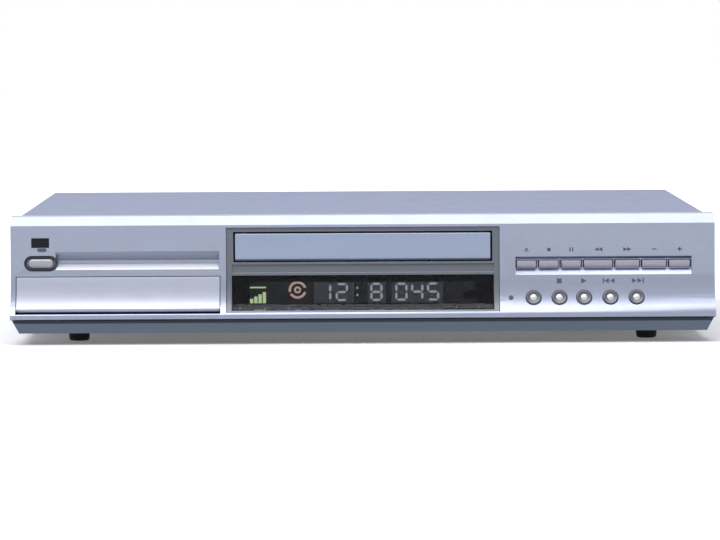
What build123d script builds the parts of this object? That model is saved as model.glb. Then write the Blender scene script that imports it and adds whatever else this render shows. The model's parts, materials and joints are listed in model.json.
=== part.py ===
from build123d import *
import os
from math import asin, cos, degrees, pi, radians, sin, sqrt, tan

os.makedirs("parts", exist_ok=True)

# A disc and hard disk recorder. X runs to the right seen from the front, Y to the back, Z up.
# The origin is on the floor under the middle. All sizes are in millimetres.

# Overall size
width = 430.0
height = 78.0
depth = 337.0

# Clearances
fit_gap = 0.15      # between pieces that are fixed together
move_gap = 0.35     # round a piece that moves
running_gap = 0.05  # radial, a shaft in its bore
air_gap = 1.0       # the dark line round the drawer's door

# Sheet metal
pan_sheet = 1.0
cover_sheet = 0.9
panel_sheet = 1.0

# Case
foot_height = 8.0
foot_radius = 6.5
foot_x = 175.5
foot_front_y = -128.0
foot_back_y = 130.0
cover_inset = 3.0        # the cover is this much narrower than the front on each side
pan_flange = 14.0
jack_reach = 10.0        # how far the rear sockets stand out
socket_proud = 0.3       # how far the face of a socket block stands out of its panel

# Front moulding
wall = 2.5
bevel = 5.4
chin_reach = 9.0         # how far the chin stands out from the upright face
flare_top = 42.0
chin_top = 18.5
nose = 2.5
plinth_set = 7.0
plinth_top = 14.5
bezel_low = 7.0
rim_depth = 20.0
end_taper = 5.0

# Middle of the front: drawer over display
centre_half = 83.5
centre_low = 19.6
centre_high = 71.0
frame_set = 0.7          # the dark insert lies this far behind the silver face
door_half = 78.0
door_low = 50.4
door_high = 67.2
door_thick = 6.0
window_half = 80.0
window_low = 20.6
window_high = 41.6
window_thick = 2.0

# Left of the front
groove_left = -187.5
groove_right = -87.6
groove_low = 45.6
groove_high = 56.8
groove_deep = 5.0
power_x = -196.5
power_z = 49.6
power_long = 15.4
power_tall = 5.4
pocket_long = 20.5
pocket_tall = 9.6
pocket_deep = 2.6
sensor_x = -196.8
sensor_z = 62.2
sensor_wide = 10.6
sensor_tall = 5.6
lamp_x = -195.8
lamp_z = 57.9
lamp_wide = 5.4
lamp_tall = 1.9
flap_right = -87.0
flap_low = 19.0
flap_high = 41.6
flap_thick = 2.2
barrel_radius = 2.0
hinge_pin_radius = 1.2
hinge_pin_long = 1.9
tub_back = 16.5          # from the upright face to the panel that holds the front sockets
tub_wall = 1.2

# Right of the front
key_edges = [93.1, 106.8, 120.5, 134.2, 153.4, 169.8, 186.3, 200.8]
key_low = 45.4
key_high = 50.2
strip_low = 41.2
strip_high = 52.4
strip_deep = 3.0
round_x = [104.1, 119.9, 135.0, 151.0, 167.0]
round_z = 27.4
round_radius = 4.6
record_lamp_x = 90.4
record_lamp_radius = 1.3
button_travel = 1.0

# Front circuit board
board_sheet = 1.6
board_set = 14.0         # its front lies this far behind the upright face
tube_half = 70.0
tube_low = 22.5
tube_high = 40.5
tube_thick = 6.0

# Disc drawer
tray_half = 64.5
tray_low = 54.0
tray_thick = 9.0
tray_back = 28.0
disc_y = -86.0
disc_radius = 61.0
small_disc_radius = 41.0
disc_step = 6.0
small_disc_step = 1.6
slot_half = 18.0
slot_back = 58.0
tray_travel = 140.0

# Drawer drive: a module 1 rack and gear
module = 1.0
gear_teeth = 16
tooth_share = 0.42       # tooth thickness over pitch, at the pitch line
addendum = 0.9
dedendum = 1.2
pressure_angle = 20.0
rack_x = -55.5
gear_y = -124.0
gear_thick = 2.7
pulley_radius = 11.0
motor_x = -14.0
motor_pulley_radius = 2.5
motor_radius = 10.0
belt_thick = 1.2
belt_tall = 1.6

# Disc loader housing
drive_front = -133.0
drive_back = 55.0
drive_half = 74.0
drive_wall = 2.0
drive_floor = 28.0
drive_floor_sheet = 1.5
drive_top = 68.0
drive_flange = 10.0
lid_sheet = 1.0
puck_hole_radius = 16.5

# Traverse: spindle and pick-up
traverse_half = 40.0
traverse_front = -104.0
traverse_back = 9.0
traverse_low = 40.0
traverse_sheet = 2.0
traverse_pin_y = 6.0
traverse_pin_radius = 1.5
spindle_radius = 12.0
turntable_radius = 15.0
turntable_low = 45.5
turntable_high = 49.5
spigot_radius = 7.4
rod_radius = 1.5
rod_x = 20.0
rod_z = 43.8
sled_travel = 34.0
screw_x = -28.0
screw_z = 35.8

# Hard disk, the common 3.5 inch size, with one platter
hdd_wide = 101.6
hdd_long = 146.9
hdd_tall = 26.1
hdd_x = 145.8
hdd_front = -115.0
hdd_low = 24.0
platter_radius = 47.5

# Circuit boards
post_height = 8.0
power_board_x = (-205.0, -90.0)
power_board_y = (-118.0, 58.0)
main_board_x = (-78.0, 205.0)
main_board_long = 84.0
main_board_set = 7.5     # from the back panel

# Back
rca_radius = 4.15
rca_pitch = 14.0
rca_columns = 3
rca_x = 12.0             # the column nearest the middle
rca_rows = (33.0, 50.0)
aerial_x = (-50.0, -30.0)
aerial_z = 41.0
aerial_radius = 4.75
aerial_shoulder = 0.55
inlet_x = -186.0
inlet_z = 26.0
fan_x = 166.0
fan_z = 46.0
fan_size = 50.0
fan_thick = 10.0
fan_wall = 1.5
fan_hub_radius = 10.0
fan_tip_gap = 1.1

# Places worked out from the sizes above
chin_y = -depth / 2
face_y = chin_y + chin_reach
board_y = face_y + board_set
rim_y = face_y + rim_depth
plinth_y = chin_y + plinth_set
rear_y = depth / 2 - jack_reach
cover_half = width / 2 - cover_inset
cover_top = height - 0.6
cover_front = rim_y + fit_gap
pan_low = foot_height
pan_top = pan_low + pan_sheet
pan_half = cover_half - cover_sheet - fit_gap
panel_front = rear_y - panel_sheet
main_board_y = (panel_front - main_board_set - main_board_long, panel_front - main_board_set)
flare_drop = flare_top - chin_top
flare_radius = (flare_drop**2 + chin_reach**2) / (2 * chin_reach)
post_top = pan_top + post_height
gear_x = rack_x + gear_teeth * module / 2


def front_y(inset, z):
    """Y of the front's surface at a height, moved inwards by inset: upright, with an arc that flares below."""
    drop = max(flare_top - z, 0.0)
    return face_y - flare_radius + sqrt((flare_radius + inset) ** 2 - drop**2)


def block(x, y, z, mode=Mode.ADD):
    """Box between two values on each axis."""
    with Locations(((x[0] + x[1]) / 2, (y[0] + y[1]) / 2, (z[0] + z[1]) / 2)):
        Box(x[1] - x[0], y[1] - y[0], z[1] - z[0], mode=mode)


def upright(y):
    """Upright plane at Y, with X to the right and Z up. Its normal points to the front."""
    return Plane.XZ.offset(-y)


def front_plate(x, inset, thickness, low, high):
    """Plate that follows the front between two heights: its outer surface lies inset behind the face."""
    curve_top = min(high, flare_top)
    curve_mid = (low + curve_top) / 2
    with BuildPart() as plate:
        with BuildSketch(Plane.YZ.offset(x[0])):
            with BuildLine():
                for skin in (inset, inset + thickness):
                    ThreePointArc(
                        (front_y(skin, low), low),
                        (front_y(skin, curve_mid), curve_mid),
                        (front_y(skin, curve_top), curve_top),
                    )
                    if high > flare_top:
                        Line((face_y + skin, flare_top), (face_y + skin, high))
                for z in (low, high):
                    Line((front_y(inset, z), z), (front_y(inset + thickness, z), z))
            make_face()
        extrude(amount=x[1] - x[0])
    return plate.part


def save(builder, name):
    """Labels a finished piece and writes it as a STEP file."""
    builder.part.label = name
    export_step(builder.part, f"parts/{name}.step")


# Front moulding: an upright face with a bevelled top, a flared chin and a set-back plinth
flare_mid = (chin_top + flare_top) / 2
inner_bevel = bevel + 0.6
with BuildPart() as front_bezel:
    with BuildSketch(Plane.YZ):
        with BuildLine():
            ThreePointArc((face_y, flare_top), (front_y(0, flare_mid), flare_mid), (chin_y, chin_top))
            Polyline(
                (chin_y, chin_top), (chin_y, chin_top - nose), (plinth_y, plinth_top), (plinth_y, bezel_low),
                (rim_y, bezel_low), (rim_y, height), (face_y + bevel, height), (face_y, height - bevel),
                (face_y, flare_top),
            )
        make_face()
    extrude(amount=width / 2, both=True)
    # the hollow behind the face
    with BuildSketch(Plane.YZ):
        with BuildLine():
            ThreePointArc(
                (face_y + wall, flare_top),
                (front_y(wall, flare_mid), flare_mid),
                (front_y(wall, chin_top), chin_top),
            )
            Polyline(
                (front_y(wall, chin_top), chin_top), (plinth_y + wall, chin_top - 2),
                (plinth_y + wall, bezel_low + wall), (rim_y + 1, bezel_low + wall), (rim_y + 1, height - wall),
                (face_y + inner_bevel, height - wall), (face_y + wall, height - inner_bevel),
                (face_y + wall, flare_top),
            )
        make_face()
    extrude(amount=width / 2 - wall, both=True, mode=Mode.SUBTRACT)
    # the plinth's ends draw in towards the floor
    with BuildSketch(upright(rim_y + 1)):
        for side in (-1, 1):
            with BuildLine():
                Polyline(
                    (side * (width / 2 + 1), plinth_top + 1.5), (side * width / 2, plinth_top + 1.5),
                    (side * (width / 2 - end_taper), bezel_low - 0.1), (side * (width / 2 + 1), bezel_low - 0.1),
                    close=True,
                )
            make_face()
    extrude(amount=depth, mode=Mode.SUBTRACT)
    # thicker wall behind the groove and behind the key strip
    groove_back = face_y + groove_deep + wall
    strip_back = face_y + strip_deep + wall
    block((-width / 2 + wall - 0.1, -centre_half - 0.1), (face_y + wall - 0.1, groove_back), (43.4, 59.2))
    block((centre_half + 0.1, width / 2 - wall + 0.1), (face_y + wall - 0.1, strip_back), (39.0, 54.6))
    # groove on the left, with a sloping floor
    with BuildSketch(Plane.YZ.offset(groove_left)):
        with BuildLine():
            Polyline(
                (face_y - 1, groove_low), (face_y, groove_low), (face_y + groove_deep, 49.3),
                (face_y + groove_deep, 51.2), (face_y + 2.2, 54.6), (face_y, groove_high),
                (face_y - 1, groove_high), close=True,
            )
        make_face()
    extrude(amount=groove_right - groove_left, mode=Mode.SUBTRACT)
    # groove for the key strip, with a shallow ledge under the keys
    with BuildSketch(Plane.YZ.offset(key_edges[0])):
        with BuildLine():
            Polyline(
                (face_y - 1, strip_low), (face_y, strip_low), (face_y + strip_deep, key_low - 0.6),
                (face_y + strip_deep, key_high + 0.6), (face_y, strip_high), (face_y - 1, strip_high), close=True,
            )
        make_face()
    extrude(amount=key_edges[-1] - key_edges[0], mode=Mode.SUBTRACT)
    # oval pocket and slot for the power button
    with BuildSketch(upright(face_y - 1)):
        with Locations((power_x, power_z)):
            SlotOverall(pocket_long, pocket_tall)
    extrude(amount=-(pocket_deep + 1), mode=Mode.SUBTRACT)
    with BuildSketch(upright(face_y)):
        with Locations((power_x, power_z)):
            SlotOverall(power_long + 2 * move_gap, power_tall + 2 * move_gap)
        with Locations((sensor_x, sensor_z)):
            Rectangle(sensor_wide + 2 * fit_gap, sensor_tall + 2 * fit_gap)
        for left, right in zip(key_edges, key_edges[1:]):
            with Locations(((left + right) / 2, (key_low + key_high) / 2)):
                Rectangle(right - left - 0.5, key_high - key_low)
    extrude(amount=-(groove_deep + wall + 1), mode=Mode.SUBTRACT)
    with BuildSketch(upright(face_y - chin_reach)):
        with Locations((record_lamp_x, round_z)):
            Circle(record_lamp_radius + fit_gap)
    extrude(amount=-(chin_reach + wall + 1), mode=Mode.SUBTRACT)
    with BuildSketch(upright(face_y)):
        with Locations((lamp_x, lamp_z)):
            SlotOverall(lamp_wide + 2 * fit_gap, lamp_tall + 2 * fit_gap)
    extrude(amount=-(groove_deep + wall + 1), mode=Mode.SUBTRACT)
    # opening for the drawer and the display
    block((-centre_half, centre_half), (chin_y - 1, rim_y + 1), (centre_low, centre_high), Mode.SUBTRACT)
    # opening for the flap
    flap_left = -width / 2 + wall + 0.6
    block((flap_left, flap_right), (chin_y - 1, rim_y + 1), (flap_low, flap_high), Mode.SUBTRACT)
    # rib between the flap and the drawer
    rib_low_y = front_y(wall, flap_low)
    with BuildSketch(Plane.YZ.offset(flap_right)):
        with BuildLine():
            ThreePointArc(
                (face_y, flare_top), (front_y(0, flare_mid), flare_mid), (front_y(0, flap_low), flap_low)
            )
            Polyline((front_y(0, flap_low), flap_low), (rim_y, flap_low), (rim_y, flare_top), (face_y, flare_top))
        make_face()
    extrude(amount=2.0)
    # seats for the flap's pins
    hinge_z = flap_low + barrel_radius + 0.8
    hinge_y = front_y(barrel_radius, hinge_z)
    for x, reach in ((flap_left, -2.6), (flap_right, 2.0)):
        with BuildSketch(Plane.YZ.offset(x)):
            with Locations((hinge_y, hinge_z)):
                Circle(hinge_pin_radius + running_gap)
        extrude(amount=reach, mode=Mode.SUBTRACT)
    # holes for the round buttons, square to the flared face
    button_lean = degrees(asin((flare_top - round_z) / flare_radius))
    for x in round_x:
        button_plane = Plane(
            origin=(x, front_y(0, round_z), round_z),
            x_dir=(1, 0, 0),
            z_dir=(0, -cos(radians(button_lean)), sin(radians(button_lean))),
        )
        with BuildSketch(button_plane.offset(3)):
            Circle(round_radius + move_gap)
        extrude(amount=-(wall + 6), mode=Mode.SUBTRACT)
    # bosses for the front board, and tongues that lie on the chassis
    with BuildSketch(upright(board_y)):
        with Locations((-206.5, 66.5), (-100, 66), (100, 64), (204, 64), (204, 34), (90, 37)):
            RegularPolygon(2.6, 6)
    extrude(amount=board_y - face_y - wall + 0.5)
    for x in (-150, -50, 50, 150):
        block((x - 8, x + 8), (rim_y - 4, rim_y + 9), (pan_top + fit_gap, pan_top + 2.0))
save(front_bezel, "front_bezel")

# Dark insert round the drawer and the display
frame_x = (-centre_half + fit_gap, centre_half - fit_gap)
bar_high = door_low - 0.7
with BuildPart() as centre_frame:
    add(front_plate(frame_x, frame_set, wall, centre_low + fit_gap, centre_high - fit_gap))
    block(
        (-door_half - air_gap, door_half + air_gap), (chin_y, rim_y), (bar_high, door_high + air_gap),
        Mode.SUBTRACT,
    )
    # recess that holds the display window
    block((-window_half, window_half), (chin_y, rim_y), (window_low, window_high), Mode.SUBTRACT)
    # step back between the drawer and the window
    block(
        (-window_half, window_half), (chin_y, face_y + frame_set + 0.8), (window_high + 1.6, bar_high - 1.6),
        Mode.SUBTRACT,
    )
save(centre_frame, "centre_frame")

# Display window, a curved smoked panel
window_x = (-window_half + fit_gap, window_half - fit_gap)
with BuildPart() as display_window:
    add(front_plate(window_x, frame_set, window_thick, window_low + fit_gap, window_high - fit_gap))
save(display_window, "display_window")

# Fluorescent display tube: a flat glass box with its pump-out tip
with BuildPart() as display_tube:
    block((-tube_half, tube_half), (board_y - tube_thick, board_y), (tube_low, tube_high))
    chamfer(display_tube.edges().group_by(Axis.Y)[0], 0.8)
    with BuildSketch(Plane.YZ.offset(tube_half)):
        with Locations((board_y - tube_thick / 2, tube_low + 4)):
            Circle(1.6)
    extrude(amount=4)
save(display_tube, "display_tube")

# Front circuit board: one notched board with its key switches and the receiver
with BuildPart() as control_board:
    with BuildSketch(upright(board_y)):
        with BuildLine():
            Polyline(
                (-210, 45), (-80, 45), (-80, 13), (210, 13), (210, 70), (82, 70), (82, 48), (-82, 48),
                (-82, 70), (-210, 70), close=True,
            )
        make_face()
    extrude(amount=-board_sheet)
    switch_tall = 3.2
    switch_y = board_y - switch_tall
    with BuildSketch(upright(board_y)):
        with Locations((power_x, power_z)):
            Rectangle(6, 6)
        for left, right in zip(key_edges, key_edges[1:]):
            with Locations(((left + right) / 2, (key_low + key_high) / 2)):
                Rectangle(6, 6)
        for x in round_x:
            with Locations((x, round_z - 5.9)):
                Rectangle(6, 6)
        with Locations((sensor_x, sensor_z)):
            Rectangle(7, 6)
    extrude(amount=switch_tall)
save(control_board, "control_board")

# Receiver window and the two small lamps
with BuildPart() as sensor_window:
    with BuildSketch(upright(face_y - 0.2)):
        with Locations((sensor_x, sensor_z)):
            Rectangle(sensor_wide, sensor_tall)
    extrude(amount=-(wall + 1.2))
    chamfer(sensor_window.edges().group_by(Axis.Y)[0], 0.2)
save(sensor_window, "sensor_window")

with BuildPart() as standby_lamp:
    with BuildSketch(upright(face_y - 0.2)):
        with Locations((lamp_x, lamp_z)):
            SlotOverall(lamp_wide, lamp_tall)
    extrude(amount=-(groove_deep + wall))
save(standby_lamp, "standby_lamp")

with BuildPart() as record_lamp:
    with BuildSketch(upright(front_y(0, round_z) - 0.4)):
        with Locations((record_lamp_x, round_z)):
            Circle(record_lamp_radius)
    extrude(amount=-(wall + 3))
save(record_lamp, "record_lamp")

# Power button: an oval bar with a crowned front, in its pocket
with BuildPart() as power_button:
    with BuildSketch(upright(face_y - 0.4)):
        with Locations((power_x, power_z)):
            SlotOverall(power_long, power_tall)
    extrude(amount=-(switch_y - 0.2 - button_travel - (face_y - 0.4)))
    chamfer(power_button.edges().group_by(Axis.Y)[0], 1.0)
    # collar that keeps it in the front
    with BuildSketch(upright(groove_back + 0.3)):
        with Locations((power_x, power_z)):
            Rectangle(power_long + 2, power_tall + 3)
    extrude(amount=-1.2)
save(power_button, "power_button")

# Seven keys under one another's labels, each with a shallow dished face and a collar
key_gap = 0.85
for index, (left, right) in enumerate(zip(key_edges, key_edges[1:]), start=1):
    middle = (left + right) / 2
    key_wide = right - left - 2 * key_gap
    key_tall = key_high - key_low - 2 * move_gap
    key_face = face_y + 0.6
    with BuildPart() as key:
        with BuildSketch(upright(key_face)):
            with Locations((middle, (key_low + key_high) / 2)):
                Rectangle(key_wide, key_tall)
        extrude(amount=-(switch_y - 0.2 - button_travel - key_face))
        chamfer(key.edges().group_by(Axis.Y)[0], 0.5)
        with BuildSketch(upright(strip_back + 0.3)):
            with Locations((middle, (key_low + key_high) / 2)):
                Rectangle(key_wide + 0.5, key_tall + 2.6)
        extrude(amount=-1.0)
    save(key, f"key_{index}")

# Five round buttons with domed caps, square to the flared face
cap_out = 1.1
stem_end = 12.7          # from the flared face to the stem's end
for index, x in enumerate(round_x, start=1):
    lean = radians(button_lean)
    button_plane = Plane(
        origin=(x, front_y(0, round_z), round_z), x_dir=(1, 0, 0), z_dir=(0, -cos(lean), sin(lean))
    )
    with BuildPart() as round_button:
        with BuildSketch(button_plane.offset(cap_out)):
            Circle(round_radius)
        extrude(amount=-(cap_out + wall + 0.4))
        chamfer(round_button.edges().sort_by(Axis((x, 0, 0), button_plane.z_dir))[-1], 1.1, 0.6)
        with BuildSketch(button_plane.offset(-wall - 0.3)):
            RegularPolygon(round_radius + 1.0, 8)
        extrude(amount=-1.2)
        # stem that reaches the switch on the board
        with BuildSketch(button_plane.offset(-wall - 1.4)):
            Rectangle(3.2, 3.2)
        extrude(amount=-(stem_end - wall - 1.4))
    save(round_button, f"round_button_{index}")

# Flap over the front sockets: a plate that carries on the flared face, with a hinge barrel along its foot
flap_x = (flap_left + move_gap, flap_right - move_gap)
with BuildPart() as input_flap:
    add(front_plate(flap_x, 0, flap_thick, hinge_z, flap_high - move_gap))
    with BuildSketch(Plane.YZ.offset(flap_x[0])):
        with Locations((hinge_y, hinge_z)):
            Circle(barrel_radius)
    extrude(amount=flap_x[1] - flap_x[0])
    with BuildSketch(Plane.YZ.offset(flap_x[0] - hinge_pin_long)):
        with Locations((hinge_y, hinge_z)):
            Circle(hinge_pin_radius)
    extrude(amount=flap_x[1] - flap_x[0] + 2 * hinge_pin_long)
    # stiffening ribs on the inside
    for z in (28.0, 36.0):
        rib_y = front_y(flap_thick, z)
        block((flap_x[0] + 4, flap_x[1] - 4), (rib_y - 0.6, rib_y + 0.9), (z - 0.5, z + 0.5))
save(input_flap, "input_flap")

# Tub behind the flap, whose back holds the front sockets
tub_x = (-width / 2 + wall + fit_gap, flap_right - fit_gap)
tub_y = (face_y + 5.0, face_y + tub_back + tub_wall)
tub_z = (17.6, 43.2)
socket_y = face_y + tub_back
face_jack_x = (-202.0, -107.0)
face_jack_z = (22.5, 37.5)
with BuildPart() as jack_panel:
    block(tub_x, tub_y, tub_z)
    block(
        (tub_x[0] + tub_wall, tub_x[1] - tub_wall), (tub_y[0] - 1, socket_y),
        (tub_z[0] + tub_wall, tub_z[1] - tub_wall), Mode.SUBTRACT,
    )
    block(
        (face_jack_x[0] - fit_gap, face_jack_x[1] + fit_gap), (socket_y - 1, tub_y[1] + 1),
        (face_jack_z[0] - fit_gap, face_jack_z[1] + fit_gap), Mode.SUBTRACT,
    )
save(jack_panel, "jack_panel")

# Front sockets: a round multi-pin one, a small square one and three pin sockets, on one block
front_pin_places = [(x, 30.0) for x in (-150.0, -132.0, -114.0)]
with BuildPart() as front_jacks:
    block((-204, -105), (tub_y[1], tub_y[1] + 8), (20.5, 39.5))
    block(face_jack_x, (socket_y - socket_proud, tub_y[1]), face_jack_z)
    with BuildSketch(upright(tub_y[1])):
        with Locations(*front_pin_places):
            Circle(rca_radius)
    extrude(amount=tub_wall + 8)
    with BuildSketch(upright(tub_y[1] - tub_wall - 9)):
        with Locations(*front_pin_places):
            RegularPolygon(1.7, 6)
    extrude(amount=-10, mode=Mode.SUBTRACT)
    with BuildSketch(upright(tub_y[1] - tub_wall - 2)):
        with Locations((-172, 30)):
            Circle(4.4)
            Rectangle(2.2, 1.4, mode=Mode.SUBTRACT)
        with Locations((-196, 30)):
            Rectangle(5.6, 3.6)
            Rectangle(4, 1, mode=Mode.SUBTRACT)
    extrude(amount=-6, mode=Mode.SUBTRACT)
save(front_jacks, "front_jacks")

# Chassis: folded sheet with side flanges, and six-sided posts for the boards
board_posts = [
    (power_board_x[0] + 6, power_board_y[0] + 6), (power_board_x[1] - 6, power_board_y[0] + 6),
    (power_board_x[0] + 6, power_board_y[1] - 6), (power_board_x[1] - 6, power_board_y[1] - 6),
    (main_board_x[0] + 6, main_board_y[0] + 6), (main_board_x[1] - 6, main_board_y[0] + 6),
    (main_board_x[0] + 6, main_board_y[1] - 6), (main_board_x[1] - 6, main_board_y[1] - 6),
    (40.0, main_board_y[0] + 6), (100.0, main_board_y[1] - 6),
]
foot_places = [(x, y) for x in (-foot_x, foot_x) for y in (foot_front_y, foot_back_y)]
rivet_radius = 2.5
screw_radius = 1.4
drive_screw_places = [(x, y) for x in (-drive_half - 5, drive_half + 5) for y in (-120.0, 40.0)]
with BuildPart() as chassis_pan:
    with BuildSketch(upright(panel_front - fit_gap)):
        with BuildLine():
            Polyline(
                (-pan_half, pan_low + pan_flange), (-pan_half, pan_low), (pan_half, pan_low),
                (pan_half, pan_low + pan_flange), (pan_half - pan_sheet, pan_low + pan_flange),
                (pan_half - pan_sheet, pan_top), (-pan_half + pan_sheet, pan_top),
                (-pan_half + pan_sheet, pan_low + pan_flange), close=True,
            )
        make_face()
    extrude(amount=panel_front - fit_gap - (rim_y + fit_gap))
    with BuildSketch(Plane.XY.offset(pan_top)):
        with Locations(*board_posts):
            RegularPolygon(4.5, 6)
    extrude(amount=post_height)
    with BuildSketch(Plane.XY.offset(pan_low)):
        with Locations(*foot_places):
            RegularPolygon(rivet_radius + running_gap, 8)
    extrude(amount=pan_sheet, mode=Mode.SUBTRACT)
    # stiffening ridges pressed into the floor
    with BuildSketch(Plane.XY.offset(pan_top)):
        with Locations((0, -90), (0, -30), (0, 30)):
            Rectangle(110, 8)
    extrude(amount=1.2, taper=30)
    # cooling slots
    with BuildSketch(Plane.XY.offset(pan_low)):
        with Locations((-148, 0), (142, -95), (142, 108)):
            with GridLocations(12, 0, 4, 1):
                Rectangle(3, 26)
    extrude(amount=pan_sheet, mode=Mode.SUBTRACT)
save(chassis_pan, "chassis_pan")

# Four rubber feet, each with a stud through the chassis
with BuildPart() as feet:
    with BuildSketch(Plane.XY.offset(pan_low)):
        with Locations(*foot_places):
            Circle(foot_radius)
    extrude(amount=-foot_height)
    chamfer(feet.edges().group_by(Axis.Z)[0], 0.8)
    with BuildSketch(Plane.XY.offset(pan_low)):
        with Locations(*foot_places):
            RegularPolygon(rivet_radius, 8)
    extrude(amount=3.0)
    with BuildSketch(Plane.XY.offset(pan_top)):
        with Locations(*foot_places):
            RegularPolygon(rivet_radius + 0.8, 8)
    extrude(amount=1.6)
save(feet, "feet")

# Cover: one sheet folded down both sides, with cooling slots low on the sides
side_slot_y = (40.0, 125.0)
with BuildPart() as top_cover:
    cover_low = pan_low + 0.4
    cover_mid = (cover_low + cover_top) / 2
    cover_tall = cover_top - cover_low
    with BuildSketch(upright(rear_y)):
        with Locations((0, cover_mid)):
            RectangleRounded(2 * cover_half, cover_tall, 2.2)
        with Locations((0, cover_mid - cover_sheet)):
            RectangleRounded(2 * (cover_half - cover_sheet), cover_tall, 1.3, mode=Mode.SUBTRACT)
        with Locations((0, cover_low)):
            Rectangle(2 * cover_half, 5, mode=Mode.SUBTRACT)
        for side in (-1, 1):
            with Locations((side * (cover_half - cover_sheet / 2), cover_low + 1.5)):
                Rectangle(cover_sheet, 3)
    extrude(amount=rear_y - cover_front)
    with BuildSketch(Plane.YZ.offset(-cover_half - 1)):
        with Locations(((side_slot_y[0] + side_slot_y[1]) / 2, 56)):
            with GridLocations(11, 0, 8, 1):
                Rectangle(3, 18)
    extrude(amount=2 * cover_half + 2, mode=Mode.SUBTRACT)
    # screw holes
    cover_screw_places = [(-70.0, 17.0), (110.0, 17.0)]
    with BuildSketch(Plane.YZ.offset(-cover_half - 1)):
        with Locations(*cover_screw_places):
            Circle(screw_radius + 0.3)
    extrude(amount=2 * cover_half + 2, mode=Mode.SUBTRACT)
save(top_cover, "top_cover")

# Back panel: a sheet with a folded top edge, cut for the fan, the sockets and the inlet
panel_half = pan_half - fit_gap
panel_high = cover_top - cover_sheet - fit_gap
rca_places = [(rca_x + rca_pitch * i, z) for z in rca_rows for i in range(rca_columns)]
rca_face_x = (rca_x - 6.5, rca_x + rca_pitch * (rca_columns - 1) + 6.5)
rca_face_z = (rca_rows[0] - 6.5, rca_rows[1] + 6.5)
guard_radius = fan_size / 2 - 2.5
inlet_wide = 26.0
inlet_tall = 18.0
with BuildPart() as rear_panel:
    block((-panel_half, panel_half), (panel_front, rear_y), (pan_low, panel_high))
    block(
        (-panel_half + 4, panel_half - 4), (panel_front - 11, panel_front), (panel_high - panel_sheet, panel_high)
    )
    chamfer(rear_panel.edges().filter_by(Axis.Y).group_by(Axis.Z)[-1].sort_by(Axis.X)[::3], 1.2)
    with BuildSketch(upright(rear_y + 1)):
        with Locations(((rca_face_x[0] + rca_face_x[1]) / 2, (rca_face_z[0] + rca_face_z[1]) / 2)):
            Rectangle(
                rca_face_x[1] - rca_face_x[0] + 2 * fit_gap, rca_face_z[1] - rca_face_z[0] + 2 * fit_gap
            )
        for x in aerial_x:
            with Locations((x, aerial_z)):
                Circle(aerial_radius + aerial_shoulder + fit_gap)
        with Locations((inlet_x, inlet_z)):
            Rectangle(inlet_wide + 2 * fit_gap, inlet_tall + 2 * fit_gap)
        # the fan's guard: rings of slots between four bars
        with Locations((fan_x, fan_z)):
            for ring in (guard_radius, guard_radius - 6.1, guard_radius - 12.2):
                Circle(ring)
                Circle(ring - 4.2, mode=Mode.SUBTRACT)
            for turn in (45, 135):
                Rectangle(fan_size - 2, 2.6, rotation=turn, mode=Mode.SUBTRACT)
    extrude(amount=panel_sheet + 1, mode=Mode.SUBTRACT)
save(rear_panel, "rear_panel")

# Screws that hold the cover to the chassis flanges
with BuildPart() as cover_screws:
    for side in (-1, 1):
        for y, z in cover_screw_places:
            with BuildSketch(Plane.YZ.offset(side * cover_half)):
                with Locations((y, z)):
                    Circle(3.4)
            extrude(amount=side * 1.9)
            with BuildSketch(Plane.YZ.offset(side * cover_half)):
                with Locations((y, z)):
                    RegularPolygon(screw_radius, 6)
            extrude(amount=-side * cover_sheet)
save(cover_screws, "cover_screws")

# Loader housing: two walls on flanges, joined by a floor, with the drawer's guide rails along their tops
tray_high = tray_low + tray_thick
rail_in = tray_half - 4.5
with BuildPart() as drive_frame:
    with BuildSketch(upright(drive_back)):
        for side in (-1, 1):
            with Locations((side * (drive_half - drive_wall / 2), (pan_top + drive_top) / 2)):
                Rectangle(drive_wall, drive_top - pan_top)
            with Locations((side * (drive_half + drive_flange / 2 - 0.5), pan_top + 0.75)):
                Rectangle(drive_flange + 1, 1.5)
            # rail with the drawer's edge in its groove
            rail_out = drive_half - drive_wall
            with Locations((side * (rail_in + rail_out) / 2, (51.4 + 65.2) / 2)):
                Rectangle(rail_out - rail_in + 0.2, 65.2 - 51.4)
            with Locations((side * (rail_in + tray_half + move_gap) / 2, (tray_low + tray_high) / 2)):
                Rectangle(
                    tray_half + move_gap - rail_in + 0.4, tray_thick + 2 * move_gap, mode=Mode.SUBTRACT
                )
        with Locations((0, drive_floor + drive_floor_sheet / 2)):
            Rectangle(2 * drive_half - drive_wall, drive_floor_sheet)
    extrude(amount=drive_back - drive_front)
    floor_top = drive_floor + drive_floor_sheet
    # posts for the gear, and stops under the front of the traverse
    with BuildSketch(Plane.XY.offset(floor_top)):
        with Locations((gear_x, gear_y)):
            Circle(3.5)
    extrude(amount=46.4 - floor_top)
    with BuildSketch(Plane.XY.offset(floor_top)):
        with Locations((gear_x, gear_y)):
            Circle(1.5)
    extrude(amount=tray_low - 0.5 - floor_top)
    with BuildSketch(Plane.XY.offset(floor_top)):
        with Locations((-traverse_half + 4, traverse_front + 4), (traverse_half - 4, traverse_front + 4)):
            Rectangle(5, 5)
    extrude(amount=traverse_low - move_gap - floor_top)
    # ears that carry the traverse
    for side in (-1, 1):
        with BuildSketch(Plane.YZ.offset(side * (traverse_half + move_gap))):
            with BuildLine():
                Polyline(
                    (traverse_pin_y - 5, floor_top), (traverse_pin_y + 5, floor_top),
                    (traverse_pin_y + 3, traverse_low + 4.5), (traverse_pin_y - 3, traverse_low + 4.5), close=True,
                )
            make_face()
            with Locations((traverse_pin_y, traverse_low + 1)):
                Circle(traverse_pin_radius + running_gap, mode=Mode.SUBTRACT)
        extrude(amount=side * 3.0)
save(drive_frame, "drive_frame")

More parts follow.
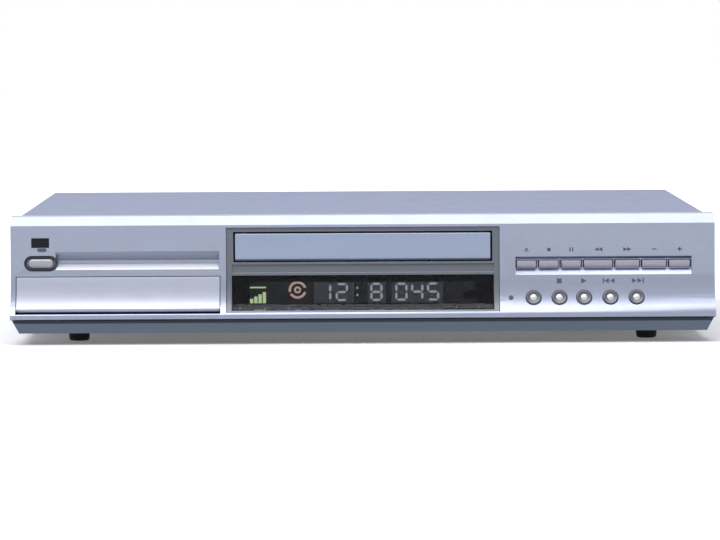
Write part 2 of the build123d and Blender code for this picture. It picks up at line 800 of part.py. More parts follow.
# Loader lid: a ribbed sheet with the clamp's hole
lid_low = drive_top + 0.0
with BuildPart() as drive_lid:
    block((-drive_half, drive_half), (drive_front, drive_back), (lid_low, lid_low + lid_sheet))
    with BuildSketch(Plane.XY.offset(lid_low + lid_sheet)):
        with Locations((0, 0), (0, 30)):
            Rectangle(110, 7)
        with Locations((-46, -80), (46, -80)):
            Rectangle(7, 80)
    extrude(amount=1.2, taper=30)
    with BuildSketch(Plane.XY.offset(lid_low)):
        with Locations((0, disc_y)):
            Circle(puck_hole_radius)
    extrude(amount=lid_sheet, mode=Mode.SUBTRACT)
save(drive_lid, "drive_lid")

# Clamp: a stepped puck that hangs in the lid's hole
puck_low = tray_high + 1.2
with BuildPart() as clamp_puck:
    with BuildSketch(Plane.XZ):
        with BuildLine():
            Polyline(
                (0, puck_low), (12.5, puck_low), (14.5, puck_low + 1.5), (14.5, lid_low + lid_sheet + 0.3),
                (19, lid_low + lid_sheet + 0.3), (19, lid_low + lid_sheet + 2), (0, lid_low + lid_sheet + 2),
                close=True,
            )
        make_face()
    revolve(axis=Axis.Z)
clamp_puck = clamp_puck.part.moved(Location((0, disc_y, 0)))
clamp_puck.label = "clamp_puck"
export_step(clamp_puck, "parts/clamp_puck.step")

# Drawer: a plate with a stepped disc recess, a slot for the pick-up and a rack along its underside
tray_front = face_y + door_thick
pitch = pi * module
tooth_half = tooth_share * pitch / 2
slope = tan(radians(pressure_angle))
with BuildPart() as disc_tray:
    block((-tray_half, tray_half), (tray_front, tray_back), (tray_low, tray_high))
    chamfer(disc_tray.edges().filter_by(Axis.Z).sort_by(Axis.Y)[-2:], 5)
    with BuildSketch(Plane.XY.offset(tray_high)):
        with Locations((0, disc_y)):
            Circle(disc_radius)
    extrude(amount=-disc_step, mode=Mode.SUBTRACT)
    with BuildSketch(Plane.XY.offset(tray_high - disc_step)):
        with Locations((0, disc_y)):
            Circle(small_disc_radius)
    extrude(amount=-small_disc_step, mode=Mode.SUBTRACT)
    # slot for the turntable and the pick-up
    with BuildSketch(Plane.XY.offset(tray_low)):
        with Locations((0, disc_y + (slot_back - slot_half) / 2)):
            SlotOverall(slot_back + slot_half, 2 * slot_half, rotation=90)
    extrude(amount=tray_thick, mode=Mode.SUBTRACT)
    # finger cut-outs at the sides of the recess, and a sunk rear deck
    with BuildSketch(Plane.XY.offset(tray_high)):
        with Locations((0, 3)):
            RectangleRounded(100, 40, 6)
        with Locations((0, disc_y)):
            Circle(disc_radius + 1.5, mode=Mode.SUBTRACT)
    extrude(amount=-4.0, mode=Mode.SUBTRACT)
    # rack
    rack_low = tray_low - gear_thick - 0.3
    tooth_y = [gear_y + (i + 0.5) * pitch for i in range(-3, 47)]
    with BuildSketch(Plane.XY.offset(rack_low)):
        with BuildLine():
            outline = [(rack_x - dedendum - 2.6, tooth_y[0] - pitch)]
            for y in tooth_y:
                root_half = tooth_half + dedendum * slope
                tip_half = tooth_half - addendum * slope
                outline += [
                    (rack_x - dedendum, y - root_half), (rack_x + addendum, y - tip_half),
                    (rack_x + addendum, y + tip_half), (rack_x - dedendum, y + root_half),
                ]
            outline += [(rack_x - dedendum - 2.6, tooth_y[-1] + pitch)]
            Polyline(*outline, close=True)
        make_face()
    extrude(amount=tray_low - rack_low)
save(disc_tray, "disc_tray")

# Drawer's door: a hollow-backed bar with a bevelled lower edge
with BuildPart() as tray_door:
    with BuildSketch(Plane.YZ.offset(-door_half)):
        with BuildLine():
            Polyline(
                (face_y, door_low + 1.6), (face_y, door_high - 0.5), (face_y + 0.5, door_high),
                (face_y + door_thick, door_high), (face_y + door_thick, door_low), (face_y + 1.4, door_low),
                close=True,
            )
        make_face()
    extrude(amount=2 * door_half)
    block(
        (-door_half + 2, door_half - 2), (face_y + 2.4, face_y + door_thick - 2.0),
        (door_low + 1.6, door_high - 1.6), Mode.SUBTRACT,
    )
save(tray_door, "tray_door")

# Loading gear on its pulley
gear_low = tray_low - gear_thick - 0.3
with BuildPart() as loading_gear:
    pitch_radius = gear_teeth * module / 2
    root_radius = pitch_radius - dedendum
    with BuildSketch(Plane.XY.offset(gear_low)):
        Circle(root_radius)
        with PolarLocations(0, gear_teeth):
            with BuildLine():
                Polyline(
                    (root_radius - 0.6, -tooth_half - dedendum * slope),
                    (pitch_radius + addendum, -tooth_half + addendum * slope),
                    (pitch_radius + addendum, tooth_half - addendum * slope),
                    (root_radius - 0.6, tooth_half + dedendum * slope), close=True,
                )
            make_face()
    extrude(amount=gear_thick)
    with BuildSketch(Plane.XY.offset(gear_low - 3.6)):
        Circle(pulley_radius)
    extrude(amount=3.6)
    with BuildSketch(Plane.XY.offset(gear_low - 3.6), Plane.XY.offset(gear_low - 0.7)):
        Circle(pulley_radius + 1.8)
    extrude(amount=0.6)
    with BuildSketch(Plane.XY.offset(gear_low - 4)):
        Circle(1.5 + running_gap)
    extrude(amount=12, mode=Mode.SUBTRACT)
loading_gear = loading_gear.part.moved(Location((gear_x, gear_y, 0)))
loading_gear.label = "loading_gear"
export_step(loading_gear, "parts/loading_gear.step")

# Loading motor, its pulley and the belt between them
motor_y = gear_y + 1.5
belt_low = gear_low - 2.6
with BuildPart() as loading_motor:
    with BuildSketch(Plane.XY.offset(floor_top)):
        with Locations((motor_x, motor_y)):
            Circle(motor_radius)
            Rectangle(2 * motor_radius, 15, mode=Mode.INTERSECT)
    extrude(amount=belt_low - 3.0 - floor_top)
    with BuildSketch(Plane.XY.offset(floor_top)):
        with Locations((motor_x, motor_y)):
            Circle(1.0)
    extrude(amount=belt_low + 2.4 - floor_top)
save(loading_motor, "loading_motor")

with BuildPart() as motor_pulley:
    with BuildSketch(Plane.XY.offset(belt_low - 0.4)):
        with Locations((motor_x, motor_y)):
            Circle(motor_pulley_radius)
    extrude(amount=belt_tall + 0.8)
    with BuildSketch(Plane.XY.offset(belt_low - 1.0)):
        with Locations((motor_x, motor_y)):
            Circle(motor_pulley_radius + 1.5)
    extrude(amount=0.6)
    with BuildSketch(Plane.XY.offset(belt_low - 1.1)):
        with Locations((motor_x, motor_y)):
            Circle(1.0 + running_gap)
    extrude(amount=5, mode=Mode.SUBTRACT)
save(motor_pulley, "motor_pulley")

with BuildPart() as loading_belt:
    with BuildSketch(Plane.XY.offset(belt_low)):
        for skin, mode in ((0.12 + belt_thick, Mode.ADD), (0.12, Mode.SUBTRACT)):
            with BuildSketch(mode=Mode.PRIVATE) as loop:
                with Locations((gear_x, gear_y)):
                    Circle(pulley_radius + skin)
                with Locations((motor_x, motor_y)):
                    Circle(motor_pulley_radius + skin)
                make_hull()
            add(loop.sketch, mode=mode)
    extrude(amount=belt_tall)
save(loading_belt, "loading_belt")

# Traverse: a pierced plate on two pins, which carries the spindle motor and the pick-up's rods
traverse_top = traverse_low + traverse_sheet
rod_front = disc_y + 13.0
rod_back = rod_front + 72.0
with BuildPart() as traverse_plate:
    block((-traverse_half, traverse_half), (traverse_front, traverse_back), (traverse_low, traverse_top))
    chamfer(traverse_plate.edges().filter_by(Axis.Z), 4)
    with BuildSketch(Plane.XY.offset(traverse_low)):
        with Locations((0, disc_y)):
            Circle(spindle_radius + fit_gap)
        with Locations((-4.5, (rod_front + rod_back) / 2 + 1)):
            Rectangle(63, rod_back - rod_front - 5)
    extrude(amount=traverse_sheet, mode=Mode.SUBTRACT)
    # blocks with open seats for the rods' ends
    for x in (-rod_x, rod_x):
        block((x - 3, x + 3), (rod_front - 0.5, rod_front + 3), (traverse_top - 0.5, rod_z + 2.2))
        block((x - 3, x + 3), (rod_back - 2.5, rod_back + 1), (traverse_top - 0.5, rod_z + 2.2))
    for x in (-rod_x, rod_x):
        block(
            (x - rod_radius, x + rod_radius), (rod_front, rod_back), (rod_z - rod_radius, rod_z + 3), Mode.SUBTRACT
        )
    # hinge pins
    with BuildSketch(Plane.YZ.offset(-traverse_half - 3)):
        with Locations((traverse_pin_y, traverse_low + 1)):
            Circle(traverse_pin_radius)
    extrude(amount=2 * traverse_half + 6)
    # hangers for the lead screw
    for y in (rod_front - 2, rod_back - 3):
        block((screw_x - 4, screw_x + 3), (y, y + 2), (screw_z - 3, traverse_low + 0.2))
    with BuildSketch(upright(rod_back)):
        with Locations((screw_x, screw_z)):
            Circle(1.5 + running_gap)
    extrude(amount=rod_back - rod_front + 4, mode=Mode.SUBTRACT)
save(traverse_plate, "traverse_plate")

with BuildPart() as traverse_motors:
    with BuildSketch(Plane.XY.offset(traverse_low - 5)):
        with Locations((0, disc_y)):
            Circle(spindle_radius)
    extrude(amount=traverse_top + 1 - traverse_low + 5)
    with BuildSketch(Plane.XY.offset(traverse_top)):
        with Locations((0, disc_y)):
            Circle(1.5)
    extrude(amount=turntable_high - 0.6 - traverse_top)
    with BuildSketch(upright(rod_front - 2 - fit_gap)):
        with Locations((screw_x, screw_z)):
            Circle(4.0)
    extrude(amount=14)
save(traverse_motors, "traverse_motors")

with BuildPart() as turntable:
    with BuildSketch(Plane.XZ):
        with BuildLine():
            Polyline(
                (1.5 + running_gap, turntable_low), (11, turntable_low), (turntable_radius, turntable_low + 2),
                (turntable_radius, turntable_high), (spigot_radius, turntable_high),
                (spigot_radius - 0.6, turntable_high + 1.6), (3.5, turntable_high + 2.2), (3.5, turntable_high - 1),
                (1.5 + running_gap, turntable_high - 1), close=True,
            )
        make_face()
    revolve(axis=Axis.Z)
turntable = turntable.part.moved(Location((0, disc_y, 0)))
turntable.label = "turntable"
export_step(turntable, "parts/turntable.step")

with BuildPart() as sled_rods:
    with BuildSketch(upright(rod_back - fit_gap)):
        with Locations((-rod_x, rod_z), (rod_x, rod_z)):
            Circle(rod_radius)
    extrude(amount=rod_back - rod_front - 2 * fit_gap)
save(sled_rods, "sled_rods")

sled_front = rod_front + 4.0
with BuildPart() as optical_sled:
    with BuildSketch(Plane.XY.offset(38)):
        with Locations((0, sled_front + 15)):
            Rectangle(33, 30)
    extrude(amount=8)
    for y in (sled_front + 1, sled_front + 21):
        block((-rod_x - 3, -16), (y, y + 7), (rod_z - 2.4, rod_z + 2.4))
    block((16, rod_x + 3), (sled_front + 11, sled_front + 17), (rod_z - 2.4, rod_z + 2.4))
    with BuildSketch(upright(sled_front + 31)):
        with Locations((-rod_x, rod_z), (rod_x, rod_z)):
            Circle(rod_radius + running_gap)
    extrude(amount=32, mode=Mode.SUBTRACT)
    # arm that the lead screw drives
    block((screw_x + 1.9, -16), (sled_front + 12, sled_front + 18), (screw_z - 1.2, 38.6))
    # lens in its ring
    with BuildSketch(Plane.XY.offset(46)):
        with Locations((0, sled_front + 9)):
            Circle(6.5)
    extrude(amount=1.4)
    with BuildSketch(Plane.XY.offset(47.4)):
        with Locations((0, sled_front + 9)):
            Circle(3.6)
    extrude(amount=0.8)
save(optical_sled, "optical_sled")

with BuildPart() as lead_screw:
    with BuildSketch(upright(rod_back - fit_gap)):
        with Locations((screw_x, screw_z)):
            Circle(1.5)
    extrude(amount=rod_back - rod_front + 2 - fit_gap)
save(lead_screw, "lead_screw")

# Hard disk: a cast case with round and oblong wells, a platter and a swinging arm
hdd_y = hdd_front + 52.0
pivot_x = hdd_x + 30.0
pivot_y = hdd_y + 63.0
lid_tall = 3.0
case_top = hdd_low + hdd_tall - lid_tall
arm_low = hdd_low + 13.6
with BuildPart() as hdd_case:
    block((hdd_x - hdd_wide / 2, hdd_x + hdd_wide / 2), (hdd_front, hdd_front + hdd_long), (hdd_low, case_top))
    chamfer(hdd_case.edges().filter_by(Axis.Z), 3)
    with BuildSketch(Plane.XY.offset(hdd_low + 6)):
        with Locations((hdd_x, hdd_y)):
            Circle(platter_radius + 1.6)
        with Locations((hdd_x + 14, pivot_y - 4)):
            Rectangle(66, 46)
    extrude(amount=case_top - hdd_low - 6, mode=Mode.SUBTRACT)
    with BuildSketch(Plane.XY.offset(hdd_low + 6)):
        with Locations((hdd_x, hdd_y)):
            Circle(3)
        with Locations((pivot_x, pivot_y)):
            Circle(3)
    extrude(amount=case_top - hdd_low - 6.5)
save(hdd_case, "hdd_case")

with BuildPart() as hdd_lid:
    block(
        (hdd_x - hdd_wide / 2 + 1.5, hdd_x + hdd_wide / 2 - 1.5), (hdd_front + 1.5, hdd_front + hdd_long - 1.5),
        (case_top, case_top + 1.6),
    )
    chamfer(hdd_lid.edges().filter_by(Axis.Z), 3)
    with BuildSketch(Plane.XY.offset(case_top + 1.6)):
        with Locations((hdd_x, hdd_y)):
            Circle(platter_radius - 4)
    extrude(amount=lid_tall - 1.6)
save(hdd_lid, "hdd_lid")

with BuildPart() as hdd_platter:
    with BuildSketch(Plane.XY.offset(hdd_low + 7)):
        with Locations((hdd_x, hdd_y)):
            Circle(12.5)
            Circle(3 + running_gap, mode=Mode.SUBTRACT)
    extrude(amount=case_top - hdd_low - 8.5)
    with BuildSketch(Plane.XY.offset(arm_low - 1.9)):
        with Locations((hdd_x, hdd_y)):
            Circle(platter_radius)
            Circle(12, mode=Mode.SUBTRACT)
    extrude(amount=1.0)
save(hdd_platter, "hdd_platter")

# The arm points at the platter's inner zone when parked
arm_long = 52.0
park_turn = 180 + 64.5 - 12.5
with BuildPart() as hdd_arm:
    with BuildSketch(Plane.XY.offset(arm_low)):
        with BuildLine():
            Polyline(
                (-13, -8), (-13, 8), (0, 8), (arm_long * 0.45, 3.6), (arm_long, 1.2), (arm_long, -1.2),
                (arm_long * 0.45, -3.6), (0, -8), close=True,
            )
        make_face()
    extrude(amount=1.4)
    with BuildSketch(Plane.XY.offset(hdd_low + 7)):
        Circle(7)
    extrude(amount=case_top - hdd_low - 9)
    with BuildSketch(Plane.XY.offset(hdd_low + 6.5)):
        Circle(3 + running_gap)
    extrude(amount=20, mode=Mode.SUBTRACT)
hdd_arm = hdd_arm.part.moved(Location((pivot_x, pivot_y, 0), (0, 0, park_turn)))
hdd_arm.label = "hdd_arm"
export_step(hdd_arm, "parts/hdd_arm.step")

# Bracket: a folded channel that lifts the hard disk clear of the chassis
with BuildPart() as hdd_bracket:
    with BuildSketch(upright(hdd_front + hdd_long - 12)):
        with BuildLine():
            Polyline(
                (hdd_x - hdd_wide / 2 - 8, pan_top), (hdd_x - hdd_wide / 2 + 2, pan_top),
                (hdd_x - hdd_wide / 2 + 2, hdd_low - 1.2), (hdd_x + hdd_wide / 2 - 2, hdd_low - 1.2),
                (hdd_x + hdd_wide / 2 - 2, pan_top), (hdd_x + hdd_wide / 2 + 8, pan_top),
                (hdd_x + hdd_wide / 2 + 8, pan_top + 1.2), (hdd_x + hdd_wide / 2 - 0.8, pan_top + 1.2),
                (hdd_x + hdd_wide / 2 - 0.8, hdd_low), (hdd_x - hdd_wide / 2 + 0.8, hdd_low),
                (hdd_x - hdd_wide / 2 + 0.8, pan_top + 1.2), (hdd_x - hdd_wide / 2 - 8, pan_top + 1.2), close=True,
            )
        make_face()
    extrude(amount=hdd_long - 24)
save(hdd_bracket, "hdd_bracket")

# Power supply board with its transformer, capacitors and heat sinks
with BuildPart() as power_board:
    block(power_board_x, power_board_y, (post_top, post_top + board_sheet))
save(power_board, "power_board")

power_top = post_top + board_sheet
with BuildPart() as power_parts:
    block((-165, -127), (-40, -4), (power_top, power_top + 26))
    block((-162, -130), (-45, 1), (power_top, power_top + 20))
    with BuildSketch(Plane.XY.offset(power_top)):
        with Locations((-186, -30)):
            Circle(11)
    extrude(amount=34)
    with BuildSketch(Plane.XY.offset(power_top)):
        with Locations((-108, -92), (-108, -70)):
            Circle(6.3)
    extrude(amount=20)
    block((-198, -176), (10, 26), (power_top, power_top + 15))
save(power_parts, "power_parts")

with BuildPart() as heat_sinks:
    for x, y in ((-150, -92), (-140, 32)):
        with BuildSketch(Plane.XY.offset(power_top)):
            with Locations((x, y)):
                Rectangle(44, 2.4)
                with GridLocations(7, 0, 6, 1):
                    with Locations((0, 5)):
                        Rectangle(1.4, 10)
        extrude(amount=32)
save(heat_sinks, "heat_sinks")

# Main board and its chips
with BuildPart() as main_board:
    block(main_board_x, main_board_y, (post_top, post_top + board_sheet))
save(main_board, "main_board")

with BuildPart() as main_chips:
    for x, y, side, tall in ((60, 29, 28, 3.4), (104, 26, 24, 2.6), (18, 22, 20, 2.6), (150, 24, 18, 2.4)):
        with BuildSketch(Plane.XY.offset(power_top)):
            with Locations((x, main_board_y[0] + y)):
                Rectangle(side, side)
        extrude(amount=tall)
    with BuildSketch(Plane.XY.offset(power_top)):
        with Locations((130, main_board_y[0] + 54)):
            Circle(4)
    extrude(amount=11)
save(main_chips, "main_chips")

# Tuner: a shielded can with two aerial sockets through the back panel
with BuildPart() as tuner_can:
    block((aerial_x[0] - 14, aerial_x[1] + 12), (panel_front - 50, panel_front - fit_gap), (power_top, 54))
    with BuildSketch(upright(panel_front - 1)):
        for x in aerial_x:
            with Locations((x, aerial_z)):
                Circle(aerial_radius + aerial_shoulder)
    extrude(amount=-(panel_sheet + 1 + socket_proud))
    with BuildSketch(upright(rear_y)):
        for x in aerial_x:
            with Locations((x, aerial_z)):
                Circle(aerial_radius)
    extrude(amount=-jack_reach)
    with BuildSketch(upright(depth / 2)):
        for x in aerial_x:
            with Locations((x, aerial_z)):
                Circle(3.6)
                RegularPolygon(1.2, 6, mode=Mode.SUBTRACT)
    extrude(amount=8, mode=Mode.SUBTRACT)
save(tuner_can, "tuner_can")

# Rear pin sockets: a moulded block with two rows of sleeves
with BuildPart() as rear_jacks:
    block(
        (rca_x - 8, rca_x + rca_pitch * (rca_columns - 1) + 8), (panel_front - 12, panel_front - fit_gap),
        (power_top, rca_rows[1] + 8),
    )
    block(rca_face_x, (panel_front - 1, rear_y + socket_proud), rca_face_z)
    with BuildSketch(upright(rear_y)):
        with Locations(*rca_places):
            Circle(rca_radius)
    extrude(amount=-8.5)
    with BuildSketch(upright(rear_y + 9)):
        with Locations(*rca_places):
            RegularPolygon(1.7, 6)
    extrude(amount=9, mode=Mode.SUBTRACT)
save(rear_jacks, "rear_jacks")

# Mains inlet: a flanged body with a two-lobed socket and two pins
with BuildPart() as ac_inlet:
    block(
        (inlet_x - inlet_wide / 2, inlet_x + inlet_wide / 2), (rear_y - 20, rear_y + 1.0),
        (inlet_z - inlet_tall / 2, inlet_z + inlet_tall / 2),
    )
    block(
        (inlet_x - inlet_wide / 2 + 3, inlet_x - 6), (rear_y - 16, rear_y - 8),
        (power_top - board_sheet, inlet_z - inlet_tall / 2 + 0.5),
    )
    with BuildSketch(upright(rear_y + 1.0)):
        with Locations((inlet_x, inlet_z)):
            SlotOverall(19.5, 9.6)
    extrude(amount=14, mode=Mode.SUBTRACT)
    with BuildSketch(upright(rear_y - 2)):
        with Locations((inlet_x - 4.3, inlet_z), (inlet_x + 4.3, inlet_z)):
            Circle(1.2)
    extrude(amount=12)
save(ac_inlet, "ac_inlet")

# Fan: a square frame with a bored duct and a bladed rotor on its hub
fan_y = (panel_front - fit_gap - fan_thick, panel_front - fit_gap)
blades = 7
duct_radius = fan_size / 2 - fan_wall
with BuildPart() as fan_frame:
    with BuildSketch(upright(fan_y[1])):
        with Locations((fan_x, fan_z)):
            Rectangle(fan_size, fan_size)
            Circle(duct_radius, mode=Mode.SUBTRACT)
            with GridLocations(fan_size - 8, fan_size - 8, 2, 2):
                RegularPolygon(2, 6, mode=Mode.SUBTRACT)
    extrude(amount=fan_thick)
    with BuildSketch(upright(fan_y[0] + 1.5)):
        with Locations((fan_x, fan_z)):
            Circle(fan_hub_radius)
            for turn in (0, 90):
                Rectangle(fan_size - 2, 2.6, rotation=turn)
    extrude(amount=1.5)
    with BuildSketch(upright(fan_y[0] + 1.5)):
        with Locations((fan_x, fan_z)):
            Circle(1.5)
    extrude(amount=-7)
save(fan_frame, "fan_frame")

with BuildPart() as fan_rotor:
    rotor_y = (fan_y[0] + 2.0, fan_y[1] - 0.6)
    with BuildSketch(upright(rotor_y[1])):
        Circle(fan_hub_radius)
    extrude(amount=rotor_y[1] - rotor_y[0])
    blade_reach = (fan_hub_radius - 0.8, duct_radius - fan_tip_gap)
    blade = Box(blade_reach[1] - blade_reach[0], 1.0, 6.6, mode=Mode.PRIVATE).rotate(Axis.X, 38)
    blade_y = (rotor_y[0] + rotor_y[1]) / 2
    for i in range(blades):
        turned = blade.moved(Location((sum(blade_reach) / 2, 0, 0))).rotate(Axis.Z, i * 360 / blades)
        add(turned.rotate(Axis.X, 90).moved(Location((0, blade_y, 0))))
    with BuildSketch(upright(rotor_y[0])):
        Circle(1.5 + running_gap)
    extrude(amount=-6.8, mode=Mode.SUBTRACT)
fan_rotor = fan_rotor.part.moved(Location((fan_x, 0, fan_z)))
fan_rotor.label = "fan_rotor"
export_step(fan_rotor, "parts/fan_rotor.step")

# Six-sided heads of the screws that hold the boards and the loader
with BuildPart() as frame_screws:
    for places, seat in ((board_posts, power_top), (drive_screw_places, pan_top + 1.5)):
        with BuildSketch(Plane.XY.offset(seat)):
            with Locations(*places):
                RegularPolygon(3, 6)
        extrude(amount=2)
save(frame_screws, "frame_screws")
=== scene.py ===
import json
from math import cos, radians, sin

import bmesh
import bpy
import numpy as np
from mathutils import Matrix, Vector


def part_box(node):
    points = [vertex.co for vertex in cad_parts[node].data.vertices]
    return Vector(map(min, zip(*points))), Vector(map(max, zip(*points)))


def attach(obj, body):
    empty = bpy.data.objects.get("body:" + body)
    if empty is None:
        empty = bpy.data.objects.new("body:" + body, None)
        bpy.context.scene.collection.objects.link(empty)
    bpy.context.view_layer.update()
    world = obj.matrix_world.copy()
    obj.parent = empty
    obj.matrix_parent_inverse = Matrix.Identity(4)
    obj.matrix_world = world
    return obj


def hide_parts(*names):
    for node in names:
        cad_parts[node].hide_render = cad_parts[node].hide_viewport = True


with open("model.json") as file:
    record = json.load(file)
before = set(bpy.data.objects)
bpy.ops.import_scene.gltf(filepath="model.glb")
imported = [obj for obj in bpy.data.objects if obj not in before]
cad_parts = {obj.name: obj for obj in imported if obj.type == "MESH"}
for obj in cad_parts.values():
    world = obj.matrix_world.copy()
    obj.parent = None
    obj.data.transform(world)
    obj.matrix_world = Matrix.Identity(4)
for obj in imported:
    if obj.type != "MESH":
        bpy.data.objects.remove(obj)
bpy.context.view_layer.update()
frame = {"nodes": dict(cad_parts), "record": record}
nodes = frame["nodes"]
bodies = frame["record"]["behaviour"]["bodies"]
body_of = {node: body for body, members in bodies.items() for node in members}

# The chassis: a pan of zinc-coated sheet steel, folded up at both sides. The coating's crystals show as
# faint patches. The loader's housing, the traverse and the hard disk's bracket are the same sheet.


def feed(tree, socket, value):
    """Wires value into the socket where it is a socket itself, and otherwise writes it there."""
    if isinstance(value, bpy.types.NodeSocket):
        tree.links.new(value, socket)
    else:
        socket.default_value = (*value, 1) if socket.type == "RGBA" else value


def add_node(tree, kind, inputs, **settings):
    """A shader node with its settings made, and its inputs fed from sockets, numbers or colours."""
    node = tree.nodes.new("ShaderNode" + kind)
    for label, value in settings.items():
        setattr(node, label, value)
    for label, value in inputs.items():
        feed(tree, node.inputs[label], value)
    return node


def on_object(tree):
    """The object's own coordinates, in metres."""
    return tree.nodes.new("ShaderNodeTexCoord").outputs["Object"]


def noise(tree, scale, detail=2.0):
    """Noise on the object's own coordinates."""
    inputs = {"Vector": on_object(tree), "Scale": scale, "Detail": detail}
    return add_node(tree, "TexNoise", inputs).outputs["Fac"]


def spread(tree, value, low, high):
    """A value from 0.3 to 0.7, where most noise lies, stretched to run from low to high."""
    ends = {"Value": value, "From Min": 0.3, "From Max": 0.7, "To Min": low, "To Max": high}
    return add_node(tree, "MapRange", ends).outputs["Result"]


def math_node(tree, kind, first, second):
    """One arithmetic step on two sockets or numbers."""
    return add_node(tree, "Math", {0: first, 1: second}, operation=kind).outputs["Value"]


def mixed(tree, factor, first, second):
    """The first colour where the factor is 0, and the second where it is 1."""
    colours = {"Factor": factor, "A": first, "B": second}
    return add_node(tree, "Mix", colours, data_type="RGBA").outputs["Result"]


def scaled(tree, vector, factor):
    """A vector or colour times a number."""
    return add_node(tree, "VectorMath", {0: vector, "Scale": factor}, operation="SCALE").outputs[0]


def uneven(tree, colour, value, amount):
    """The colour times 1 + amount·(value - 0.5)."""
    swing = math_node(tree, "MULTIPLY", math_node(tree, "SUBTRACT", value, 0.5), amount)
    return scaled(tree, colour, math_node(tree, "ADD", 1.0, swing))


def effect(name, inputs, outputs):
    """An empty node group. The inputs come with their start values, and the outputs with their kinds. Returns
    its tree, the sockets that it is given and the sockets that it fills."""
    tree = bpy.data.node_groups.new(name, "ShaderNodeTree")
    for label, value in inputs.items():
        kind, start = ("Color", (*value, 1)) if isinstance(value, tuple) else ("Float", value)
        socket = tree.interface.new_socket(label, in_out="INPUT", socket_type="NodeSocket" + kind)
        socket.default_value = start
    for label, kind in outputs.items():
        tree.interface.new_socket(label, in_out="OUTPUT", socket_type="NodeSocket" + kind)
    return tree, tree.nodes.new("NodeGroupInput").outputs, tree.nodes.new("NodeGroupOutput").inputs


def make_surface_effect():
    """Colour, roughness and normal of a made surface. The colour is the given one times 1 plus a slow cloud,
    laid over with pale dust where the surface looks up. The roughness is the given one plus a slow cloud. The
    height is fine noise at the grain's scale."""
    tree, given, out = effect(
        "made_surface",
        {"Colour": (0.5, 0.5, 0.5), "Clouding": 0.05, "Dust": 0.05, "Roughness": 0.4, "Spread": 0.05,
         "Grain Scale": 2500.0, "Grain Depth": 0.00002},
        {"Colour": "Color", "Roughness": "Float", "Normal": "Vector"},
    )
    cloud_scale, speck_scale, gloss_scale, dust_colour = 28.0, 420.0, 75.0, (0.62, 0.60, 0.56)
    clouded = uneven(tree, given["Colour"], noise(tree, cloud_scale, 3.0), given["Clouding"])
    facing = tree.nodes.new("ShaderNodeNewGeometry").outputs["Normal"]
    upward = add_node(tree, "SeparateXYZ", {0: facing}).outputs["Z"]
    lying = spread(tree, math_node(tree, "MAXIMUM", upward, 0.0), 0.0, 1.0)
    specks = spread(tree, noise(tree, speck_scale, 4.0), 0.4, 1.0)
    dusty = math_node(tree, "MULTIPLY", math_node(tree, "MULTIPLY", lying, specks), given["Dust"])
    feed(tree, out["Colour"], mixed(tree, dusty, clouded, dust_colour))
    half = math_node(tree, "MULTIPLY", given["Spread"], 0.5)
    smoothest = math_node(tree, "SUBTRACT", given["Roughness"], half)
    roughest = math_node(tree, "ADD", given["Roughness"], half)
    feed(tree, out["Roughness"], spread(tree, noise(tree, gloss_scale, 3.0), smoothest, roughest))
    bump = add_node(tree, "Bump", {
        "Strength": 0.6, "Height": noise(tree, given["Grain Scale"]), "Distance": given["Grain Depth"]})
    feed(tree, out["Normal"], bump.outputs["Normal"])
    return tree


def make_cell_effect(name, cells_per_metre, gloss=None):
    """Colour of a surface in Voronoi cells, each a little lighter or darker. With a gloss, roughness too:
    each cell's own, from the first number up by the second."""
    results = {"Colour": "Color", "Roughness": "Float"} if gloss else {"Colour": "Color"}
    tree, given, out = effect(name, {"Colour": (0.6, 0.6, 0.6), "Contrast": 0.1}, results)
    cells = add_node(tree, "TexVoronoi", {"Vector": on_object(tree), "Scale": cells_per_metre})
    parts = add_node(tree, "SeparateColor", {0: cells.outputs["Color"]}).outputs
    feed(tree, out["Colour"], uneven(tree, given["Colour"], parts[0], given["Contrast"]))
    if gloss:
        duller = math_node(tree, "MULTIPLY", parts[1], gloss[1])
        feed(tree, out["Roughness"], math_node(tree, "ADD", gloss[0], duller))
    return tree


surface_effect = make_surface_effect()
crystal_effect = make_cell_effect("zinc_crystals", 240.0, (0.38, 0.14))


def set_shader(material, values):
    """Feeds inputs of the material's main shader. Returns the material."""
    tree = material.node_tree
    for label, value in values.items():
        feed(tree, tree.nodes["Principled BSDF"].inputs[label], value)
    return material


def finish(name, colour, roughness=0.4, metallic=0.0, clouding=0.05, dust=0.04, spread_by=0.06,
           grain=2500.0, depth=0.00002, coat=0.0, coat_roughness=0.1, shine=0.5):
    """A finish of the made surface with its own colour, gloss and grain. Returns the material."""
    material = bpy.data.materials.new(name)
    material.use_nodes = True
    surface = add_node(
        material.node_tree, "Group",
        {"Colour": colour, "Clouding": clouding, "Dust": dust, "Roughness": roughness, "Spread": spread_by,
         "Grain Scale": grain, "Grain Depth": depth},
        node_tree=surface_effect, name="made_surface",
    ).outputs
    return set_shader(material, {
        "Base Color": surface["Colour"], "Roughness": surface["Roughness"], "Normal": surface["Normal"],
        "Metallic": metallic, "Coat Weight": coat, "Coat Roughness": coat_roughness,
        "Specular IOR Level": shine,
    })


def lay_under(material, group, inputs):
    """Lays an effect under the made surface: each of its outputs feeds the surface's input of that name."""
    tree = material.node_tree
    for output in add_node(tree, "Group", inputs, node_tree=group).outputs:
        feed(tree, tree.nodes["made_surface"].inputs[output.name], output)
    return material


def dress(node, material):
    """Gives a CAD node its finish."""
    mesh_slots = nodes[node].material_slots
    if not mesh_slots:
        nodes[node].data.materials.append(material)
    for mesh_slot in mesh_slots:
        mesh_slot.material = material


def add_to(piece, node):
    """The piece is a detail carried by the CAD node's body."""
    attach(piece, body_of[node])


def stand(piece, node):
    """The piece rides with the CAD node's body and is shown in place of the node, which is hidden."""
    add_to(piece, node)
    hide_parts(node)


def placed(name, data):
    """An object at the origin that shows the data."""
    thing = bpy.data.objects.new(name, data)
    bpy.context.scene.collection.objects.link(thing)
    return thing


